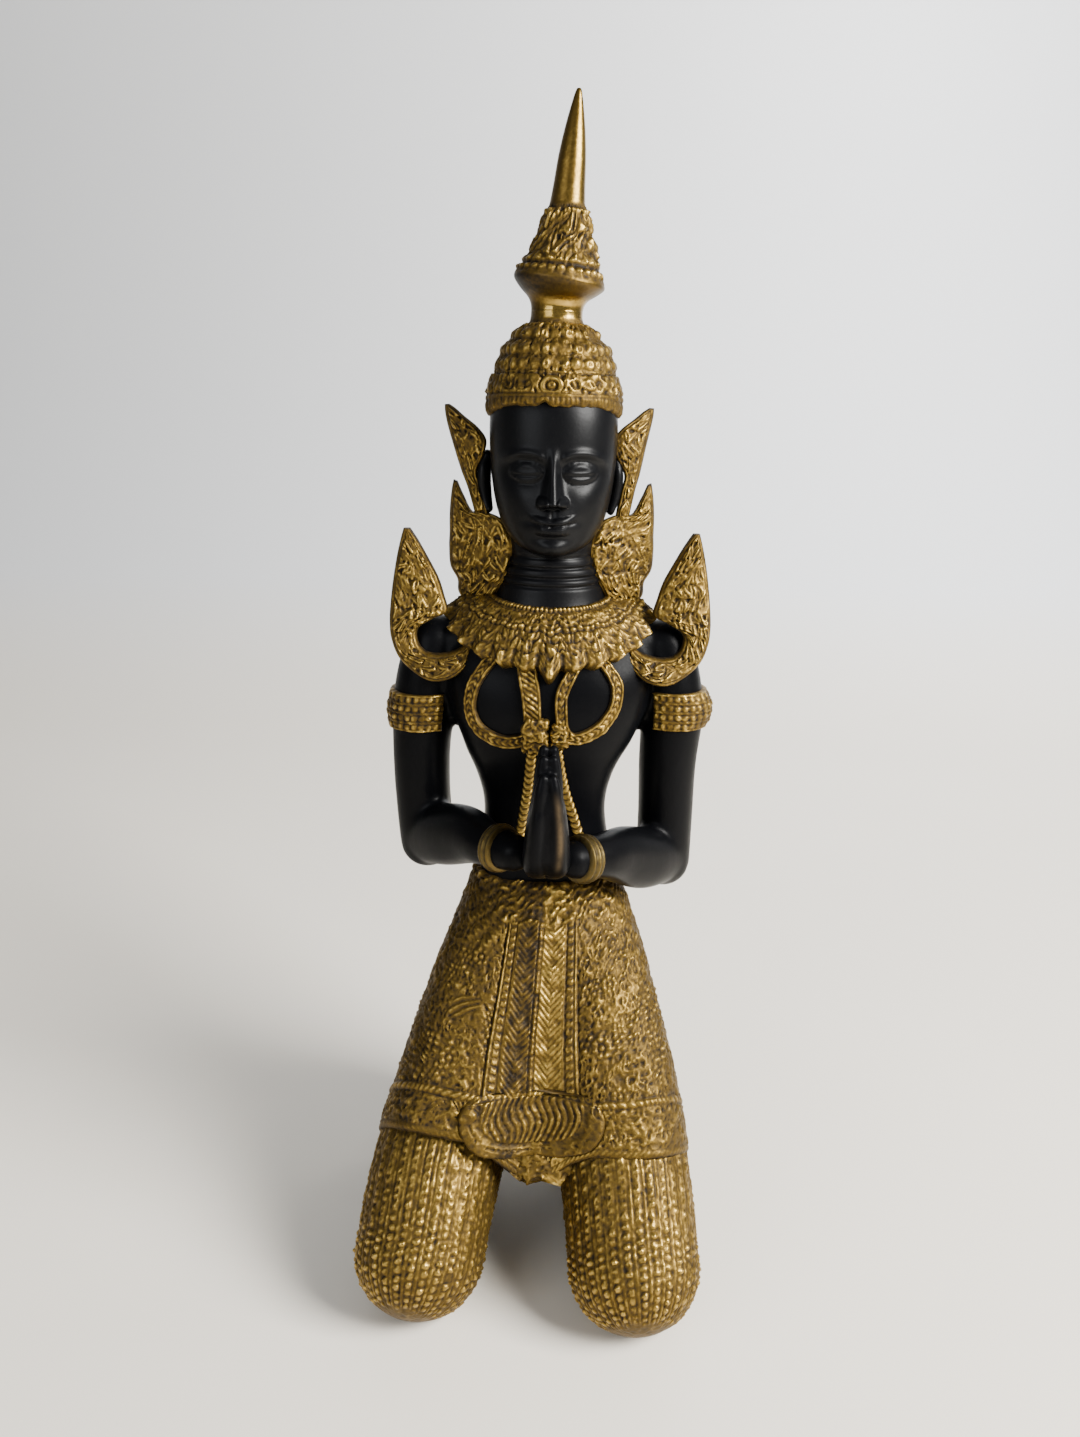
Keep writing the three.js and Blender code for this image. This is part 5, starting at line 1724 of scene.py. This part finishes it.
class DEVA_OT_rings(bpy.types.Operator):
    """Armbands and bracelets"""

    bl_idname = "deva.rings"
    bl_label = "Armbands and bracelets"
    bl_options = {"REGISTER", "UNDO"}

    def execute(self, context):
        armbands = [armband_shell(-1), armband_shell(1)]
        make_piece("armbands", armbands, finish(context, "antique_gold"))
        bracelets = [bracelet_shell(-1), bracelet_shell(1)]
        make_piece("bracelets", bracelets, finish(context, "dull_gold"))
        return {"FINISHED"}


class DEVA_OT_skirt(bpy.types.Operator):
    """Skirt, apron and the cloth between the knees"""

    bl_idname = "deva.skirt"
    bl_label = "Skirt"
    bl_options = {"REGISTER", "UNDO"}

    def execute(self, context):
        sizes = context.scene.deva_sizes
        gold = finish(context, "antique_gold")
        make_piece("skirt", [skirt_shell(sizes)], gold)
        make_piece("apron", [apron_shell(), drape_shell()], gold)
        return {"FINISHED"}


class DEVA_OT_thighs(bpy.types.Operator):
    """Beaded cloth over the thighs"""

    bl_idname = "deva.thighs"
    bl_label = "Thighs"
    bl_options = {"REGISTER", "UNDO"}

    def execute(self, context):
        sizes = context.scene.deva_sizes
        gold = finish(context, "antique_gold")
        for name, side in (("thigh_left", -1), ("thigh_right", 1)):
            make_piece(name, grounded([thigh_shell(side, sizes)]), gold)
        return {"FINISHED"}


class DEVA_OT_legs(bpy.types.Operator):
    """Lower legs and feet"""

    bl_idname = "deva.legs"
    bl_label = "Lower legs"
    bl_options = {"REGISTER", "UNDO"}

    def execute(self, context):
        sizes = context.scene.deva_sizes
        black = finish(context, "black_satin")
        for name, side in (("leg_left", -1), ("leg_right", 1)):
            fused(name, grounded(foot_shells(side)), sizes.skin_voxel / MM, 5, black)
        return {"FINISHED"}


# Camera, in the figure's millimetres and in degrees, and the frame of the photo in its pixels
CAMERA_AT = (0.0, -563.0, 428.0)
CAMERA_PITCH = 15.5
CAMERA_ROLL = 1.2
FOCAL_PIXELS = 1150.0
PHOTO = (1080, 1437)
SENSOR = 36.0

# Square area lights, in the figure's millimetres: place, what they face, watts, colour
LIGHTS = {
    "key": ((1050, -640, 980), (0, 0, 220), 82.0, (1.0, 0.985, 0.95)),
    "fill": ((-700, -900, 620), (0, 0, 240), 7.0, (0.93, 0.96, 1.0)),
    "backdrop": ((1000, 700, 1300), (500, 2100, 700), 46.0, (0.97, 0.98, 1.0)),
}
LIGHT_SIZE = 700.0
ROOM_COLOUR = (0.86, 0.88, 0.90, 1.0)
ROOM_STRENGTH = 0.28

# Floor and backdrop, in metres: front edge, start of the bend, the bend's radius, top, half width
FLOOR = {"front": -1.6, "bend": 0.9, "radius": 1.2, "top": 3.0, "half": 4.0}
FLOOR_COLOURS = ((0.80, 0.745, 0.655), (0.84, 0.785, 0.69))
BACKDROP_COLOUR = (0.80, 0.805, 0.81)


def in_metres(point):
    """A place in the part's frame from one in the figure's millimetres."""
    return Vector([(a + b) * MM for a, b in zip(point, PLUMB)])


def add_floor():
    """A floor that sweeps up into a backdrop: a profile of a flat, a quarter circle and a wall, drawn
    along X."""
    bend, radius, half = FLOOR["bend"], FLOOR["radius"], FLOOR["half"]
    angle = np.linspace(0, math.pi / 2, 24)
    y = np.concatenate([[FLOOR["front"]], bend + radius * np.sin(angle), [bend + radius]])
    z = np.concatenate([[0.0], radius * (1 - np.cos(angle)), [FLOOR["top"]]])
    count = len(y)
    points = np.concatenate([np.stack([np.full(count, x), y, z], -1) for x in (-half, half)])
    near_edge = np.arange(count - 1)
    faces = np.stack([near_edge, near_edge + count, near_edge + count + 1, near_edge + 1], -1)
    mesh = bpy.data.meshes.new("floor")
    mesh.from_pydata(points.tolist(), [], faces.tolist())
    mesh.shade_smooth()
    mesh.materials.append(floor_material())
    floor = in_scene("floor", mesh)


def floor_material():
    """Pale board with faint clouds, greyer where the floor rises into the backdrop."""
    material, tree, shader = new_material("pale_floor", FLOOR_COLOURS[0], 0.0, 0.6)
    board = mixed(tree, grain(tree, 0.25, 2.0), *FLOOR_COLOURS)
    height = node(tree, "SeparateXYZ", "Z", {}, Vector=node(tree, "TexCoord", "Object", {}))
    feed(tree, shader.inputs["Base Color"], mixed(tree, (height * 8.0).held(), board, BACKDROP_COLOUR))
    shader.inputs["Roughness"].default_value = 0.45
    return material


def add_light(name, at, to, watts, colour):
    """A square area light at one place, facing another."""
    data = bpy.data.lights.new(name, "AREA")
    data.size = LIGHT_SIZE * MM
    data.energy = watts
    data.color = colour
    lamp = in_scene(name, data)
    lamp.location = in_metres(at)
    lamp.rotation_euler = (in_metres(to) - in_metres(at)).to_track_quat("-Z", "Y").to_euler()


def add_room(scene):
    """An even pale light from all round."""
    world = bpy.data.worlds.new("soft_room")
    world.use_nodes = True
    background = world.node_tree.nodes["Background"]
    background.inputs["Color"].default_value = ROOM_COLOUR
    background.inputs["Strength"].default_value = ROOM_STRENGTH
    scene.world = world


def add_camera(scene):
    """The photo's camera: tipped down by the pitch after a roll about its own line of sight."""
    data = bpy.data.cameras.new("photo_camera")
    data.sensor_fit = "VERTICAL"
    data.sensor_height = SENSOR
    data.lens = SENSOR * FOCAL_PIXELS / PHOTO[1]
    data.clip_start = 0.01
    camera = in_scene("photo_camera", data)
    camera.location = in_metres(CAMERA_AT)
    pitch = Matrix.Rotation(math.radians(90 - CAMERA_PITCH), 3, "X")
    camera.rotation_euler = (pitch @ Matrix.Rotation(math.radians(CAMERA_ROLL), 3, "Z")).to_euler()
    scene.camera = camera


class DEVA_OT_stage(bpy.types.Operator):
    """Pale floor, soft light and the camera of the photo"""

    bl_idname = "deva.stage"
    bl_label = "Stage"
    bl_options = {"REGISTER", "UNDO"}

    def execute(self, context):
        add_floor()
        for name, light in LIGHTS.items():
            add_light(name, *light)
        add_room(context.scene)
        add_camera(context.scene)
        return {"FINISHED"}


class DEVA_PT_panel(bpy.types.Panel):
    """The operators, in the order they run"""

    bl_label = "Kneeling deva"
    bl_idname = "DEVA_PT_panel"
    bl_space_type = "VIEW_3D"
    bl_region_type = "UI"
    bl_category = "Deva"

    def draw(self, context):
        for group in (context.scene.deva_look, context.scene.deva_sizes):
            box = self.layout.box()
            for name in group.bl_rna.properties.keys():
                if name not in ("rna_type", "name"):
                    box.prop(group, name)
        for step in OPERATORS:
            self.layout.operator(step.bl_idname)


OPERATORS = (DEVA_OT_body, DEVA_OT_head, DEVA_OT_hands, DEVA_OT_crown, DEVA_OT_flames, DEVA_OT_collar,
             DEVA_OT_bands, DEVA_OT_rings, DEVA_OT_skirt, DEVA_OT_thighs, DEVA_OT_legs, DEVA_OT_stage)
CLASSES = (DevaLook, DevaSizes, *OPERATORS, DEVA_PT_panel)


def register():
    """Make the classes and their settings known to the scene."""
    for item in CLASSES:
        bpy.utils.register_class(item)
    bpy.types.Scene.deva_look = bpy.props.PointerProperty(type=DevaLook)
    bpy.types.Scene.deva_sizes = bpy.props.PointerProperty(type=DevaSizes)


def unregister():
    """Take back what register made."""
    del bpy.types.Scene.deva_sizes
    del bpy.types.Scene.deva_look
    for item in reversed(CLASSES):
        bpy.utils.unregister_class(item)


def main():
    """Build every piece."""
    register()
    for operator in OPERATORS:
        getattr(bpy.ops.deva, operator.bl_idname.split(".")[1])()


if __name__ == "__main__":
    main()
